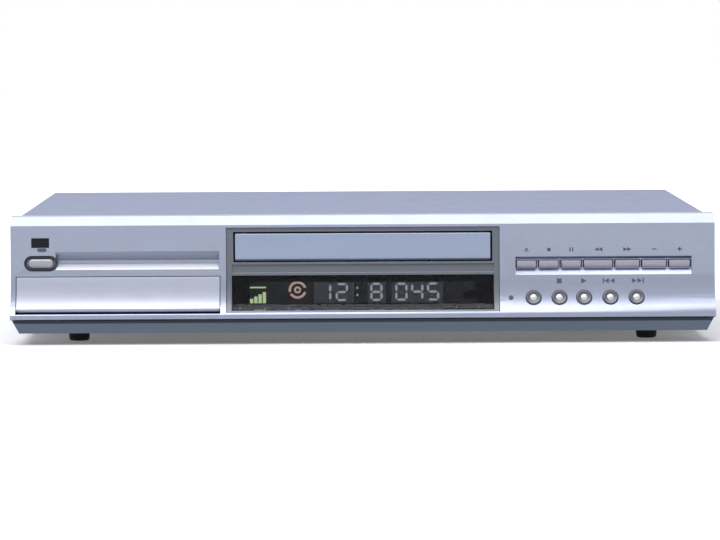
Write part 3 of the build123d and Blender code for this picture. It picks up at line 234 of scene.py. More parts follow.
def refined(node, name, material, edge=0.0002):
    """The CAD node's surface with doubles merged, flat areas made whole and sharp edges rounded."""
    weld, flat, smooth_below, round_above = 0.000003, radians(0.4), radians(32), radians(40)
    mesh = nodes[node].data.copy()
    mesh.name = name
    shape = bmesh.new()
    shape.from_mesh(mesh)
    bmesh.ops.remove_doubles(shape, verts=shape.verts, dist=weld)
    bmesh.ops.dissolve_limit(shape, angle_limit=flat, verts=shape.verts, edges=shape.edges)
    shape.to_mesh(mesh)
    shape.free()
    mesh.materials.clear()
    mesh.materials.append(material)
    mesh.shade_smooth()
    mesh.set_sharp_from_angle(angle=smooth_below)
    piece = placed(name, mesh)
    rounding = piece.modifiers.new("rounded_edges", "BEVEL")
    rounding.width = edge
    rounding.segments = 2
    rounding.limit_method = "ANGLE"
    rounding.angle_limit = round_above
    rounding.harden_normals = True
    stand(piece, node)


zinc_grey = (0.60, 0.61, 0.62)
zinc = lay_under(
    finish("zinc_sheet", zinc_grey, 0.42, metallic=0.85, grain=900.0, depth=0.00001),
    crystal_effect, {"Colour": zinc_grey, "Contrast": 0.13},
)
for part in ("drive_frame", "hdd_bracket", "traverse_plate"):
    dress(part, zinc)
refined("chassis_pan", "chassis_sheet", zinc)
refined("drive_lid", "loader_lid", zinc)

# Four feet of black rubber, each moulded with a stud that pulls through the chassis. The tread is a shallow
# dish inside a rounded rim.


def grid_faces(rows, columns, ring=False):
    """Quads between the rows of a grid of points, whose columns join end to end. The first and last rows are
    filled, or joined to each other where the rows make a ring."""
    row, column = np.meshgrid(np.arange(rows if ring else rows - 1), np.arange(columns), indexing="ij")
    near, far = np.sort([row, (row + 1) % rows], axis=0) * columns
    after = (column + 1) % columns
    quads = np.stack([near + column, near + after, far + after, far + column], axis=-1)
    ends = [] if ring else [list(range(columns))[::-1], list(range((rows - 1) * columns, rows * columns))]
    return quads.reshape(-1, 4).tolist() + ends


def turned(radii, heights, centre, axis=(0, 0, 1), steps=48):
    """Surface turned about an axis:
    point(h, t) = centre + axis·height(h) + radius(h)·(side·cos t + up·sin t)."""
    axis = np.array(axis, float) / np.linalg.norm(axis)
    side = np.cross(axis, (0, 1, 0) if abs(axis[1]) < 0.9 else (1, 0, 0))
    side /= np.linalg.norm(side)
    up = np.cross(axis, side)
    turn = np.linspace(0, 2 * np.pi, steps, endpoint=False)
    ring = np.cos(turn)[:, None] * side + np.sin(turn)[:, None] * up
    radii, heights = np.array(radii, float), np.array(heights, float)
    points = np.array(centre) + heights[:, None, None] * axis + radii[:, None, None] * ring
    return points.reshape(-1, 3), grid_faces(len(radii), steps)


def build(name, material, *shells, sharp=35):
    """One mesh piece of several closed shells, smooth except at edges sharper than the given angle."""
    points, faces, start = [], [], 0
    for shell_points, shell_faces in shells:
        points.append(shell_points)
        faces += [[index + start for index in face] for face in shell_faces]
        start += len(shell_points)
    mesh = bpy.data.meshes.new(name)
    mesh.from_pydata(np.concatenate(points).tolist(), [], faces)
    shape = bmesh.new()
    shape.from_mesh(mesh)
    bmesh.ops.recalc_face_normals(shape, faces=shape.faces)
    shape.to_mesh(mesh)
    shape.free()
    mesh.materials.append(material)
    mesh.shade_smooth()
    mesh.set_sharp_from_angle(angle=radians(sharp))
    return placed(name, mesh)


foot_low, foot_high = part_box("feet")
pan_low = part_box("chassis_pan")[0].z
foot_radius = 0.0065
foot_centres = [
    (x, y, 0.0)
    for x in (foot_low.x + foot_radius, foot_high.x - foot_radius)
    for y in (foot_low.y + foot_radius, foot_high.y - foot_radius)
]
tread_radii = [0.0030, 0.0040, 0.0046, 0.0051, 0.0056, 0.0061, 0.0064, foot_radius, foot_radius]
tread_heights = [0.0006, 0.0006, 0.0001, 0.0000, 0.0002, 0.0008, 0.0030, 0.0060, pan_low]
plug_radii = [0.0025, 0.0025, 0.0032, 0.0030, 0.0020]
plug_heights = [pan_low, pan_low + 0.0012, pan_low + 0.0012, pan_low + 0.0022, pan_low + 0.0032]
rubber = finish("foot_rubber", (0.022, 0.022, 0.024), 0.75, grain=1800.0, depth=0.00005, dust=0.10)
foot_shells = [turned(tread_radii, tread_heights, centre) for centre in foot_centres]
foot_shells += [turned(plug_radii, plug_heights, centre, steps=24) for centre in foot_centres]
stand(build("rubber_feet", rubber, *foot_shells), "feet")

# The power supply is on a tan paper board beside the loader: a transformer wound in yellow tape between
# ferrite legs, a mains filter, sleeved capacitors, and two finned extrusions that cool its transistors.


def make_trace_effect():
    """Colour of a printed board. Long cells of a stretched Voronoi pattern are tracks under the resist, and
    round solder pads sit in a second, nearly even pattern."""
    tree, given, out = effect(
        "printed_tracks", {"Resist": (0.02, 0.15, 0.08), "Track": (0.05, 0.3, 0.15)}, {"Colour": "Color"})
    track_scale, pad_scale, track_reach, pad_reach = (90.0, 420.0, 300.0), 210.0, 0.42, 0.17
    solder_grey = (0.62, 0.62, 0.60)
    stretched = add_node(tree, "Mapping", {"Vector": on_object(tree), "Scale": track_scale}).outputs[0]
    long_cells = add_node(tree, "TexVoronoi", {"Vector": stretched, "Scale": 1.0}, distance="MANHATTAN")
    tracks = math_node(tree, "LESS_THAN", long_cells.outputs["Distance"], track_reach)
    dots = add_node(tree, "TexVoronoi", {"Vector": on_object(tree), "Scale": pad_scale, "Randomness": 0.55})
    pads = math_node(tree, "LESS_THAN", dots.outputs["Distance"], pad_reach)
    copper = mixed(tree, tracks, given["Resist"], given["Track"])
    feed(tree, out["Colour"], mixed(tree, pads, copper, solder_grey))
    return tree


trace_effect = make_trace_effect()


def board(name, resist, track):
    """A printed board's finish: resist over tracks, with bare solder pads."""
    material = finish(name, resist, 0.35, clouding=0.1, dust=0.08, coat=0.3)
    return lay_under(material, trace_effect, {"Resist": resist, "Track": track})


def block_shell(low, high, edge):
    """A box between two corners with its upright edges cut by a small chamfer."""
    (x0, y0, z0), (x1, y1, z1) = low, high
    outline = np.array([
        (x0 + edge, y0), (x1 - edge, y0), (x1, y0 + edge), (x1, y1 - edge),
        (x1 - edge, y1), (x0 + edge, y1), (x0, y1 - edge), (x0, y0 + edge),
    ])
    middle = outline.mean(0)
    inner = middle + (outline - middle) * (1 - edge / np.maximum(abs(outline - middle), edge * 2).max(0))
    rows = [(outline, z0), (outline, z1 - edge), (inner, z1)]
    points = np.array([np.column_stack([shape, np.full(8, z)]) for shape, z in rows])
    return points.reshape(-1, 3), grid_faces(3, 8)


dress("power_board", board("power_board_paper", (0.42, 0.27, 0.12), (0.50, 0.34, 0.17)))
dress("heat_sinks", finish("extruded_fins", (0.55, 0.56, 0.57), 0.38, metallic=0.9, grain=600.0))
power_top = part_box("power_board")[1].z
ferrite = finish("ferrite", (0.045, 0.043, 0.042), 0.55, clouding=0.2, grain=900.0, depth=0.00004, dust=0.08)
tape = finish("winding_tape", (0.62, 0.42, 0.05), 0.35, clouding=0.12, coat=0.4)
filter_case = finish("filter_case", (0.50, 0.44, 0.10), 0.4, coat=0.2)
sleeve_film = finish("capacitor_sleeve", (0.018, 0.022, 0.060), 0.25, clouding=0.05, coat=0.5)
bare_aluminium = finish("bare_aluminium", (0.72, 0.73, 0.74), 0.3, metallic=0.95, grain=800.0)
for carry, name, material, x, y, rise, edge in (
    (stand, "transformer_core", ferrite, (-0.1650, -0.1270), (-0.0400, -0.0040), (0.0, 0.0260), 0.0006),
    (add_to, "transformer_winding", tape, (-0.1618, -0.1302), (-0.0448, 0.0008), (0.0010, 0.0198), 0.0014),
    (add_to, "mains_filter", filter_case, (-0.1980, -0.1760), (0.0100, 0.0260), (0.0, 0.0150), 0.0008),
):
    low, high = zip(x, y, (power_top + rise[0], power_top + rise[1]))
    carry(build(name, material, block_shell(low, high, edge)), "power_parts")
capacitors = [
    ((-0.186, -0.030, power_top), 0.0110, 0.034),
    ((-0.108, -0.092, power_top), 0.0063, 0.020),
    ((-0.108, -0.070, power_top), 0.0063, 0.020),
]
sleeves = [
    turned([r - 0.0010, r, r, r - 0.0008, r, r, r - 0.0008, r - 0.0016],
           [0.0, 0.0008, 0.0025, 0.0034, 0.0043, tall - 0.0012, tall - 0.0002, tall - 0.0001], foot)
    for foot, r, tall in capacitors
]
tops = [
    turned([0.0003, r * 0.78, r * 0.83], [tall, tall, tall - 0.0003], foot) for foot, r, tall in capacitors]
add_to(build("capacitor_sleeves", sleeve_film, *sleeves), "power_parts")
add_to(build("capacitor_tops", bare_aluminium, *tops), "power_parts")

# The main board carries the video chips, and behind them the tuner in its tinned can. Rows of pin sockets
# stand out through the back, each a plated sleeve with a coloured insulator round its foot.
dress("main_board", board("main_board_resist", (0.015, 0.11, 0.055), (0.03, 0.20, 0.10)))
dress("main_chips", finish("chip_moulding", (0.020, 0.020, 0.022), 0.5, grain=3000.0, depth=0.00003))
dress("tuner_can", finish("tinned_can", (0.66, 0.67, 0.68), 0.30, metallic=0.95, clouding=0.12, grain=500.0))
black_moulding = finish("black_moulding", (0.020, 0.020, 0.022), 0.38, grain=1600.0, depth=0.00003, dust=0.06)
dress("rear_jacks", black_moulding)
plating = finish("plated_sleeve", (0.78, 0.78, 0.76), 0.18, metallic=1.0, clouding=0.05, dust=0.0)
rear_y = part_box("rear_panel")[1].y
sleeve_radius, sleeve_wall, ring_width = 0.00415, 0.0005, 0.0020
column_x, row_z = (0.012, 0.026, 0.040), (0.033, 0.050)
backward, forward = (0, 1, 0), (0, -1, 0)


def open_sleeve(centre, base, tip, way=backward):
    """A plated sleeve with a rounded mouth and a blind bore: its profile runs up outside and down inside."""
    outer, bore, blind = sleeve_radius + 0.00003, sleeve_radius - sleeve_wall, tip - 0.007
    lip = (outer - bore) * 0.3
    radii = [outer, outer, outer - lip * 0.3, outer - lip, bore + lip, bore, bore, bore * 0.2]
    heights = [base, tip - lip, tip - lip * 0.3, tip, tip, tip - lip, blind, blind]
    return turned(radii, heights, centre, way, steps=32)


def insulator_ring(centre, way=backward):
    """The coloured ring round a sleeve's foot, a little higher at its inner edge."""
    inner, outer = sleeve_radius + 0.0001, sleeve_radius + ring_width
    return turned([inner, outer, outer, inner], [0.00002, 0.00002, 0.0008, 0.0011], centre, way, steps=32)


sleeve_long = 0.0085
rear_sleeves = [open_sleeve((x, rear_y, z), 0.0, sleeve_long) for x in column_x for z in row_z]
add_to(build("plated_sleeves", plating, *rear_sleeves), "rear_jacks")
insulator_colours = {"yellow": (0.75, 0.50, 0.02), "white": (0.75, 0.75, 0.72), "red": (0.55, 0.02, 0.02)}
insulators = {name: finish(f"{name}_insulator", colour, 0.4) for name, colour in insulator_colours.items()}
for (name, material), x in zip(insulators.items(), column_x):
    rings = [insulator_ring((x, rear_y + 0.0003, z)) for z in row_z]
    add_to(build(f"{name}_insulators", material, *rings), "rear_jacks")

# The back panel is zinc-coated sheet with a cut guard for the fan. The fan is a black frame with a
# seven-bladed rotor, and the mains inlet is a black two-pin socket.
refined("rear_panel", "back_sheet", zinc, 0.0001)
dress("ac_inlet", black_moulding)
refined("fan_frame", "fan_housing", black_moulding)
dress("fan_rotor", finish("fan_moulding", (0.03, 0.03, 0.032), 0.4, grain=1600.0))


def middle_of(node):
    """The middle of a CAD node's box, in X, Y and Z."""
    return np.mean(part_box(node), axis=0)


inlet_x, inlet_z, pins_apart = middle_of("ac_inlet")[0], 0.026, 0.0086
pin_metal = finish("inlet_pins", (0.72, 0.70, 0.64), 0.2, metallic=1.0, dust=0.0)
mains_pins = [
    turned([0.00125, 0.00125, 0.0010, 0.0004], [-0.0125, -0.0026, -0.0021, -0.0019],
           (inlet_x + side * pins_apart / 2, rear_y, inlet_z), backward, steps=20)
    for side in (-1, 1)
]
add_to(build("mains_pins", pin_metal, *mains_pins), "ac_inlet")


def cross_head(centre, radius, height, way, rings=26, steps=64):
    """A pan head with a cross recess, standing out along way. At the share r of its radius it rises by
    h·(1 - 0.35·r⁴ - 0.6·s(0.17 - min(|u|, |v|))·s(0.58 - max(|u|, |v|))), where s steps up in 0.1."""
    way, up = np.array(way, float), np.array((0.0, 0.0, 1.0))
    side = np.cross(up, way)
    reach = np.concatenate([np.linspace(0.01, 0.7, rings - 6), np.linspace(0.76, 1.0, 6)])
    turn = np.linspace(0, 2 * np.pi, steps, endpoint=False)
    u, v = reach[:, None] * np.cos(turn), reach[:, None] * np.sin(turn)

    def step(gap):
        return np.clip(gap / 0.10 + 0.5, 0, 1)

    narrow, wide = np.minimum(abs(u), abs(v)), np.maximum(abs(u), abs(v))
    level = height * (1 - 0.35 * reach[:, None] ** 4 - 0.6 * step(0.17 - narrow) * step(0.58 - wide))
    u, v, level = (np.concatenate([rows, rows[-1:]]) for rows in (u, v, level))
    level[-1] = 0.0
    points = centre + level[..., None] * way + radius * (u[..., None] * side + v[..., None] * up)
    return points.reshape(-1, 3), grid_faces(rings + 1, steps)


screw_plating = finish("screw_plating", (0.58, 0.59, 0.60), 0.25, metallic=1.0)
fan_low, fan_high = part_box("fan_frame")
corner_set, top_row_z = 0.004, 0.0685
panel_screws = [
    (x, z)
    for x in (fan_low.x + corner_set, fan_high.x - corner_set)
    for z in (fan_low.z + corner_set, fan_high.z - corner_set)
]
panel_screws += [
    (-0.200, top_row_z), (-0.110, top_row_z), (-0.040, 0.0600), (0.026, top_row_z), (0.100, top_row_z)]
back_radius, back_tall = 0.0026, 0.0012
back_heads = [cross_head((x, rear_y, z), back_radius, back_tall, backward) for x, z in panel_screws]
add_to(build("back_screw_heads", screw_plating, *back_heads, sharp=28), "rear_panel")

# The hard disk: a cast aluminium case with a pressed bright lid over one mirror platter and a stamped arm.
# It is screwed to a folded bracket that lifts it off the chassis.
dress("hdd_case", finish("cast_case", (0.42, 0.43, 0.45), 0.5, metallic=0.85, grain=700.0, depth=0.00006))
bright_lid = finish("bright_lid", (0.66, 0.67, 0.69), 0.28, metallic=1.0, grain=400.0)
refined("hdd_lid", "disk_lid_plate", bright_lid, 0.0003)
dress("hdd_platter", finish("platter_mirror", (0.80, 0.80, 0.82), 0.05, metallic=1.0, clouding=0.0, depth=0.0,
                             spread_by=0.01, dust=0.0))
alloy = finish("stamped_alloy", (0.60, 0.61, 0.62), 0.35, metallic=0.95, grain=800.0)
dress("hdd_arm", alloy)

# The disc loader: grey mouldings on the zinc housing. The traverse carries the spindle motor with its
# turntable and the die-cast pick-up on two ground rods; a belt and a gear drive the drawer's rack.
dark_moulding = finish("drawer_moulding", (0.045, 0.047, 0.052), 0.45, grain=1500.0, depth=0.00004)
natural = finish("natural_moulding", (0.72, 0.70, 0.64), 0.42, clouding=0.04)
motor_can = finish("motor_can", (0.58, 0.59, 0.60), 0.3, metallic=0.95, grain=600.0)
ground_steel = finish(
    "ground_steel", (0.70, 0.70, 0.71), 0.12, metallic=1.0, clouding=0.02, depth=0.0, dust=0.0)
belt_rubber = finish("belt_rubber", (0.016, 0.016, 0.017), 0.6, grain=1200.0)
for part, material in (
    ("clamp_puck", dark_moulding), ("turntable", dark_moulding), ("loading_gear", natural),
    ("motor_pulley", natural), ("loading_motor", motor_can), ("traverse_motors", motor_can),
    ("sled_rods", ground_steel), ("lead_screw", ground_steel), ("optical_sled", alloy),
    ("loading_belt", belt_rubber),
):
    dress(part, material)
refined("disc_tray", "disc_drawer", dark_moulding, 0.00025)
violet_glass = finish("objective_lens", (0.25, 0.22, 0.45), 0.04, clouding=0.0, dust=0.0, depth=0.0, coat=1.0,
                      coat_roughness=0.02)
sled_low, sled_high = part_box("optical_sled")
lens_radius, lens_rise, lens_set = 0.0034, 0.0010, 0.009
dome = np.linspace(0, np.pi / 2, 10)[:-1]
lens = turned(
    np.append(lens_radius * np.cos(dome), 0.0001), np.append(lens_rise * np.sin(dome), lens_rise),
    (0.0, sled_low.y + lens_set, sled_high.z - 0.0002))
add_to(build("pickup_lens", violet_glass, lens), "optical_sled")

# Behind the front stands the control board, which carries the key switches and the fluorescent display: a
# flat glass tube with its lit figures on a dark ground.
dress("control_board", board("front_board_resist", (0.015, 0.10, 0.05), (0.03, 0.19, 0.10)))
tube_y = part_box("display_tube")[0].y
dress("display_tube", finish("tube_ground", (0.012, 0.014, 0.016), 0.12, clouding=0.0, dust=0.0, depth=0.0))


def glow(name, colour, strength):
    """A lit phosphor area: its own colour as light, over the same colour unlit."""
    material = finish(name, tuple(0.3 * c for c in colour), 0.5, dust=0.0)
    return set_shader(material, {"Emission Color": colour, "Emission Strength": strength})


def wafer(outline, y, thickness):
    """A thin flat plate from an outline in X and Z, standing just in front of the plane at y."""
    outline = np.array(outline, float)
    rows = [
        np.column_stack([outline[:, 0], np.full(len(outline), place), outline[:, 1]])
        for place in (y, y - thickness)
    ]
    return np.concatenate(rows), grid_faces(2, len(outline))


def on_tube(name, material, outlines, lift=0.00006, thickness=0.00006):
    """Thin plates in front of the display's tube, one for each outline."""
    plates = [wafer(outline, tube_y - lift, thickness) for outline in outlines]
    add_to(build(name, material, *plates), "display_tube")


def slab(x0, x1, z0, z1):
    """An upright four-cornered outline."""
    return [(x0, z0), (x1, z0), (x1, z1), (x0, z1)]


def make_mesh_effect():
    """Fine wire mesh: 1 on the wires and 0 in the round holes of an even grid."""
    tree, given, out = effect("wire_mesh", {"Pitch": 0.0005}, {"Mask": "Float"})
    hole_reach = 0.36
    place = scaled(tree, on_object(tree), math_node(tree, "DIVIDE", 1.0, given["Pitch"]))
    holes = add_node(tree, "TexVoronoi", {"Vector": place, "Scale": 1.0, "Randomness": 0.0})
    feed(tree, out["Mask"], math_node(tree, "GREATER_THAN", holes.outputs["Distance"], hole_reach))
    return tree


def wire_grid():
    """Grey wires over darker holes."""
    material = finish("grid_mesh", (0.30, 0.30, 0.31), 0.5, dust=0.0, depth=0.0)
    tree = material.node_tree
    wires = add_node(tree, "Group", {}, node_tree=make_mesh_effect()).outputs["Mask"]
    feed(tree, tree.nodes["made_surface"].inputs["Colour"], mixed(
        tree, wires, (0.16, 0.16, 0.17), (0.42, 0.42, 0.44)))
    return material


grid_z = (0.0236, 0.0366)
grids = [slab(-0.0300, -0.0055, *grid_z), slab(0.0030, 0.0140, *grid_z), slab(0.0175, 0.0490, *grid_z)]
on_tube("display_grids", wire_grid(), grids, lift=0.0, thickness=0.00003)
mask_x, mask_z = (-0.0795, 0.0795), (0.0210, 0.0410)
open_x, open_z = (-0.0697, 0.0690), (0.0226, 0.0372)
mask_sides = [
    slab(*mask_x, mask_z[0], open_z[0]), slab(*mask_x, open_z[1], mask_z[1]),
    slab(mask_x[0], open_x[0], *open_z), slab(open_x[1], mask_x[1], *open_z),
]
mask_black = finish("display_mask_black", (0.008, 0.008, 0.009), 0.8, dust=0.0, shine=0.2)
on_tube("display_mask", mask_black, mask_sides, lift=0.0008, thickness=0.0003)


def pointed_bar(start, end, point, wide):
    """A bar from start to end with a point at each end, whose length is given."""
    start, end = np.array(start), np.array(end)
    along = (end - start) / np.linalg.norm(end - start)
    side = wide / 2 * np.array((along[1], -along[0]))
    near, far = start + point * along, end - point * along
    return [start, near + side, far + side, end, far - side, near - side]


def seven_segments(x, z, wide, tall, lit, bar=0.0014):
    """Pointed bars of one figure: a, g and d across, f, b, e and c upright. lit names the bars to draw."""
    half, gap = tall / 2, bar * 0.25
    across = {"a": z + tall, "g": z + half, "d": z}
    upright = {"f": (x, z + half), "b": (x + wide, z + half), "e": (x, z), "c": (x + wide, z)}
    return [
        pointed_bar((x + gap, height), (x + wide - gap, height), bar - gap, bar)
        for key, height in across.items() if key in lit
    ] + [
        pointed_bar((side, foot + gap), (side, foot + half - gap), bar * 0.6, bar)
        for key, (side, foot) in upright.items() if key in lit
    ]


bars_of = {"1": "bc", "2": "abged", "0": "abcdef", "4": "fgbc", "5": "afgcd", "8": "abcdefg"}
figures = ((-0.0262, "1"), (-0.0160, "2"), (0.0052, "8"), (0.0205, "0"), (0.0302, "4"), (0.0399, "5"))
figure_z, figure_wide, figure_tall = 0.0255, 0.0062, 0.0100
figure_bars = [
    outline for x, figure in figures
    for outline in seven_segments(x, figure_z, figure_wide, figure_tall, bars_of[figure])
]
colon = [slab(-0.0040, -0.0028, z, z + 0.0012) for z in (0.0280, 0.0325)]
on_tube("clock_figures", glow("dim_figures", (0.42, 0.44, 0.46), 1.3), figure_bars + colon)
scale_x, scale_z, scale_pitch, scale_wide, scale_rise = -0.0692, 0.0237, 0.0026, 0.0020, 0.0014
bar_places = scale_x + scale_pitch * np.arange(4)
level_bars = [
    slab(x, x + scale_wide, scale_z, scale_z + scale_rise * steps) for steps, x in enumerate(bar_places, 2)]
level_bars.append(slab(scale_x, -0.0594, 0.0332, 0.0341))
on_tube("level_bars", glow("green_panel", (0.50, 0.66, 0.30), 1.7), level_bars)


def ring_part(x, z, outer, inner, start, end, steps=24):
    """Part of a flat ring as one outline: the outer arc from start to end, then the inner arc back."""
    turn = np.linspace(start, end, steps)
    return np.concatenate([
        np.column_stack([x + outer * np.cos(turn), z + outer * np.sin(turn)]),
        np.column_stack([x + inner * np.cos(turn[::-1]), z + inner * np.sin(turn[::-1])]),
    ])


disc_x, disc_z = -0.0400, 0.0320
disc_sign = [
    ring_part(disc_x, disc_z, outer, inner, start, end)
    for outer, inner, start, end in (
        (0.0055, 0.0040, 0.3, 3.4), (0.0055, 0.0040, 3.7, 6.0), (0.0022, 0.0010, 0.0, 6.1))
]
on_tube("disc_sign", glow("pink_disc", (0.62, 0.42, 0.34), 1.4), disc_sign)
unlit = finish("unlit_block", (0.002, 0.002, 0.003), 0.6, dust=0.0, shine=0.1)
on_tube("unlit_sign", unlit, [slab(0.0610, 0.0685, 0.0262, 0.0305)])

# The front is one moulding in silver paint: upright above, then flared out into a chin over a set-back
# plinth. The paint has fine metal flake under a thin clear coat. Below the chin it is darkened with painted
# shade, and the white strip on the floor of the long groove is a painted highlight.


def make_height_effect():
    """0 above a height and 1 below it, over a tenth of a millimetre."""
    tree, given, out = effect("below_a_height", {"Height": 0.0}, {"Mask": "Float"})
    height = add_node(tree, "SeparateXYZ", {0: on_object(tree)}).outputs["Z"]
    drop = math_node(tree, "SUBTRACT", given["Height"], height)
    feed(tree, out["Mask"], add_node(tree, "MapRange", {"Value": drop, "From Max": 0.0001}).outputs["Result"])
    return tree


flake_effect = make_cell_effect("paint_flake", 3500.0)
height_effect = make_height_effect()


def silver_paint(name, colour, roughness=0.36, metallic=0.35, contrast=0.12, coat=0.15):
    """Silver paint: flake under the made surface, with a thin clear coat."""
    material = finish(name, colour, roughness, metallic=metallic, clouding=0.02, dust=0.02, coat=coat,
                      coat_roughness=0.2, depth=0.00001)
    return lay_under(material, flake_effect, {"Colour": colour, "Contrast": contrast})


def darker_below(material, colour, height):
    """The paint changes to another colour below a height; the front uses it for painted shade under its chin.
    """
    tree = material.node_tree
    under = tree.nodes["made_surface"].inputs["Colour"]
    below = add_node(tree, "Group", {"Height": height}, node_tree=height_effect).outputs["Mask"]
    feed(tree, under, mixed(tree, below, under.links[0].from_socket, colour))


front_paint = silver_paint("front_silver", (0.305, 0.335, 0.435), metallic=0.65)
# Below the chin the paint is darkened. The near-black band just under the chin is painted shade beneath its
# overhang, and the dark blue-grey below plinth_z is partly a darker plinth paint and partly painted shade.
chin_shade_z, plinth_z = 0.0158, 0.0130
darker_below(front_paint, (0.022, 0.027, 0.040), chin_shade_z)
darker_below(front_paint, (0.115, 0.145, 0.20), plinth_z)
refined("front_bezel", "front_moulding", front_paint, 0.0003)
face_y, chin_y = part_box("tray_door")[0].y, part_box("front_bezel")[0].y
flare_top, chin_top = 0.0420, 0.0185
flare_radius = ((flare_top - chin_top) ** 2 + (face_y - chin_y) ** 2) / (2 * (face_y - chin_y))


def front_line(z, inset=0.0):
    """Y of the front at a height. It is upright above flare_top, and below that an arc of radius r carries it
    outwards: y = face - r + sqrt((r + inset)² - drop²)."""
    drop = np.maximum(flare_top - np.asarray(z, float), 0.0)
    return face_y - flare_radius + np.sqrt((flare_radius + inset) ** 2 - drop**2)


def laid_strip(foot, back, x0, x1, ends=(0.02, 0.97), thickness=0.00012, steps=12):
    """A thin strip on a sloping floor, with s taken between the ends:
    point(x, s) = foot + s·(back - foot) + thickness·normal·(1 - (2s - 1)⁸)."""
    share = np.linspace(0, 1, steps)[:, None]
    slope = np.array(back) - np.array(foot)
    normal = np.array((-slope[1], slope[0])) / np.linalg.norm(slope)
    floor_line = np.array(foot) + (ends[0] + share * (ends[1] - ends[0])) * slope
    crown_line = floor_line + thickness * (1 - (2 * share - 1) ** 8) * normal
    outline = np.concatenate([floor_line + 0.00001 * normal, (crown_line + 0.00002 * normal)[::-1]])
    rows = [np.column_stack([np.full(len(outline), x), outline]) for x in (x0, x1)]
    return np.concatenate(rows), grid_faces(2, len(outline))


groove_foot, groove_back = (face_y, 0.0456), (face_y + 0.0050, 0.0493)
groove_x = (-0.1872, -0.0879)
# The white strip on the groove's sloping floor is a painted highlight: it stands in for the light that the
# upward-facing ledge catches.
groove_highlight_white = finish("groove_highlight_white", (0.88, 0.88, 0.91), 0.30, clouding=0.02, dust=0.02, coat=0.3)
add_to(build("groove_highlight_strip", groove_highlight_white, laid_strip(groove_foot, groove_back, *groove_x)), "front_bezel")

# Printed marks on the front: the usual signs for eject, stop, pause, search, channel, play and skip. They
# are thin layers of blue-grey ink, centred on the keys and the round buttons under them.


def printed(outline):
    """Flat ink on the front: the outline in X and Z is laid on the front's surface, which bends below."""
    skin = front_line(outline[:, 1])
    rows = [np.column_stack([outline[:, 0], skin + lift, outline[:, 1]]) for lift in (0.00002, -0.00003)]
    return np.concatenate(rows), grid_faces(2, len(outline))


def bar_sign(wide, tall, x=0.0, z=0.0):
    """A filled bar round a centre."""
    return [slab(x - wide / 2, x + wide / 2, z - tall / 2, z + tall / 2)]


def arrow_sign(size, x=0.0, way=1):
    """A filled triangle round a centre, pointing to the right for way 1 and to the left for way -1."""
    return [[(x - way * size / 2, -size / 2), (x + way * size / 2, 0), (x - way * size / 2, size / 2)]]


key_sign, round_sign, thin, stroke = 0.0026, 0.0030, 0.0007, 0.0008
pointing_up = [[(-key_sign / 2, -key_sign * 0.1), (key_sign / 2, -key_sign * 0.1), (0, key_sign / 2)]]
key_signs = (
    pointing_up + bar_sign(key_sign, key_sign * 0.2, z=-key_sign * 0.36),
    bar_sign(key_sign * 0.8, key_sign * 0.8),
    bar_sign(stroke, key_sign, -0.0008) + bar_sign(stroke, key_sign, 0.0008),
    arrow_sign(key_sign, -0.0012, -1) + arrow_sign(key_sign, 0.0012, -1),
    arrow_sign(key_sign, -0.0012) + arrow_sign(key_sign, 0.0012),
    bar_sign(key_sign, thin),
    bar_sign(key_sign, thin) + bar_sign(thin, key_sign),
)
round_signs = (
    [],
    bar_sign(round_sign, round_sign),
    arrow_sign(0.0034),
    bar_sign(stroke, round_sign, -0.0042) + arrow_sign(round_sign, -0.0022, -1)
    + arrow_sign(round_sign, 0.0012, -1),
    arrow_sign(round_sign, -0.0012) + arrow_sign(round_sign, 0.0022) + bar_sign(stroke, round_sign, 0.0042),
)
key_sign_z, round_sign_z = 0.0566, 0.0374
rows_of_signs = (("key", key_sign_z, key_signs), ("round_button", round_sign_z, round_signs))
marks = [
    printed(np.array(outline) + (middle_of(f"{control}_{index}")[0], height))
    for control, height, signs in rows_of_signs
    for index, sign in enumerate(signs, 1)
    for outline in sign
]
ink = finish("sign_ink", (0.10, 0.11, 0.15), 0.5, clouding=0.1, dust=0.0)
add_to(build("front_signs", ink, *marks), "front_bezel")

# The dark insert frames the drawer and the display. The display's window is a smoked panel that follows the
# flare, so that its foot catches the light from above.


def rounded_bar(name, material, profile, x0, x1, edge, steps=6, columns=2):
    """A closed outline in Y and Z carried along X: point(i, j) = (x(i), profile(j) - normal(j)·inset(i)).
    Near each end the inset is edge·(1 - sqrt(1 - s²)), which rounds it."""
    profile = np.array(profile, float)
    following = np.roll(profile, -1, 0)
    along = following - np.roll(profile, 1, 0)
    along /= np.maximum(np.linalg.norm(along, axis=1, keepdims=True), 1e-12)
    area = np.sum(profile[:, 0] * following[:, 1] - following[:, 0] * profile[:, 1])
    outward = np.column_stack([along[:, 1], -along[:, 0]]) * np.sign(area)
    ease = np.linspace(0, 1, steps)
    ends = edge * (1 - np.sqrt(np.maximum(1 - (1 - ease) ** 2, 0)))
    between = np.linspace(x0 + edge, x1 - edge, columns + 2)[1:-1]
    xs = np.concatenate([x0 + edge * ease, between, x1 - edge * ease[::-1]])
    insets = np.concatenate([ends, np.zeros(columns), ends[::-1]])
    rows = profile[None] - insets[:, None, None] * outward[None]
    points = np.concatenate([np.broadcast_to(xs[:, None, None], (len(xs), len(profile), 1)), rows], axis=2)
    return build(name, material, (points.reshape(-1, 3), grid_faces(len(xs), len(profile))))


def flared_plate(low, high, outer, thickness, edge=0.0004, steps=24):
    """Closed outline of a plate that follows the front: down its outer skin and up its inner one."""
    z = np.linspace(high, low, steps)
    outside = np.column_stack([front_line(z, outer), z])
    inside = np.column_stack([front_line(z[::-1], outer + thickness), z[::-1]])
    outside[0, 0] += edge
    outside[-1, 0] += edge
    outside = np.insert(outside, 1, (front_line(high - edge, outer), high - edge), 0)
    outside = np.insert(outside, len(outside) - 1, (front_line(low + edge, outer), low + edge), 0)
    return np.concatenate([outside, inside])


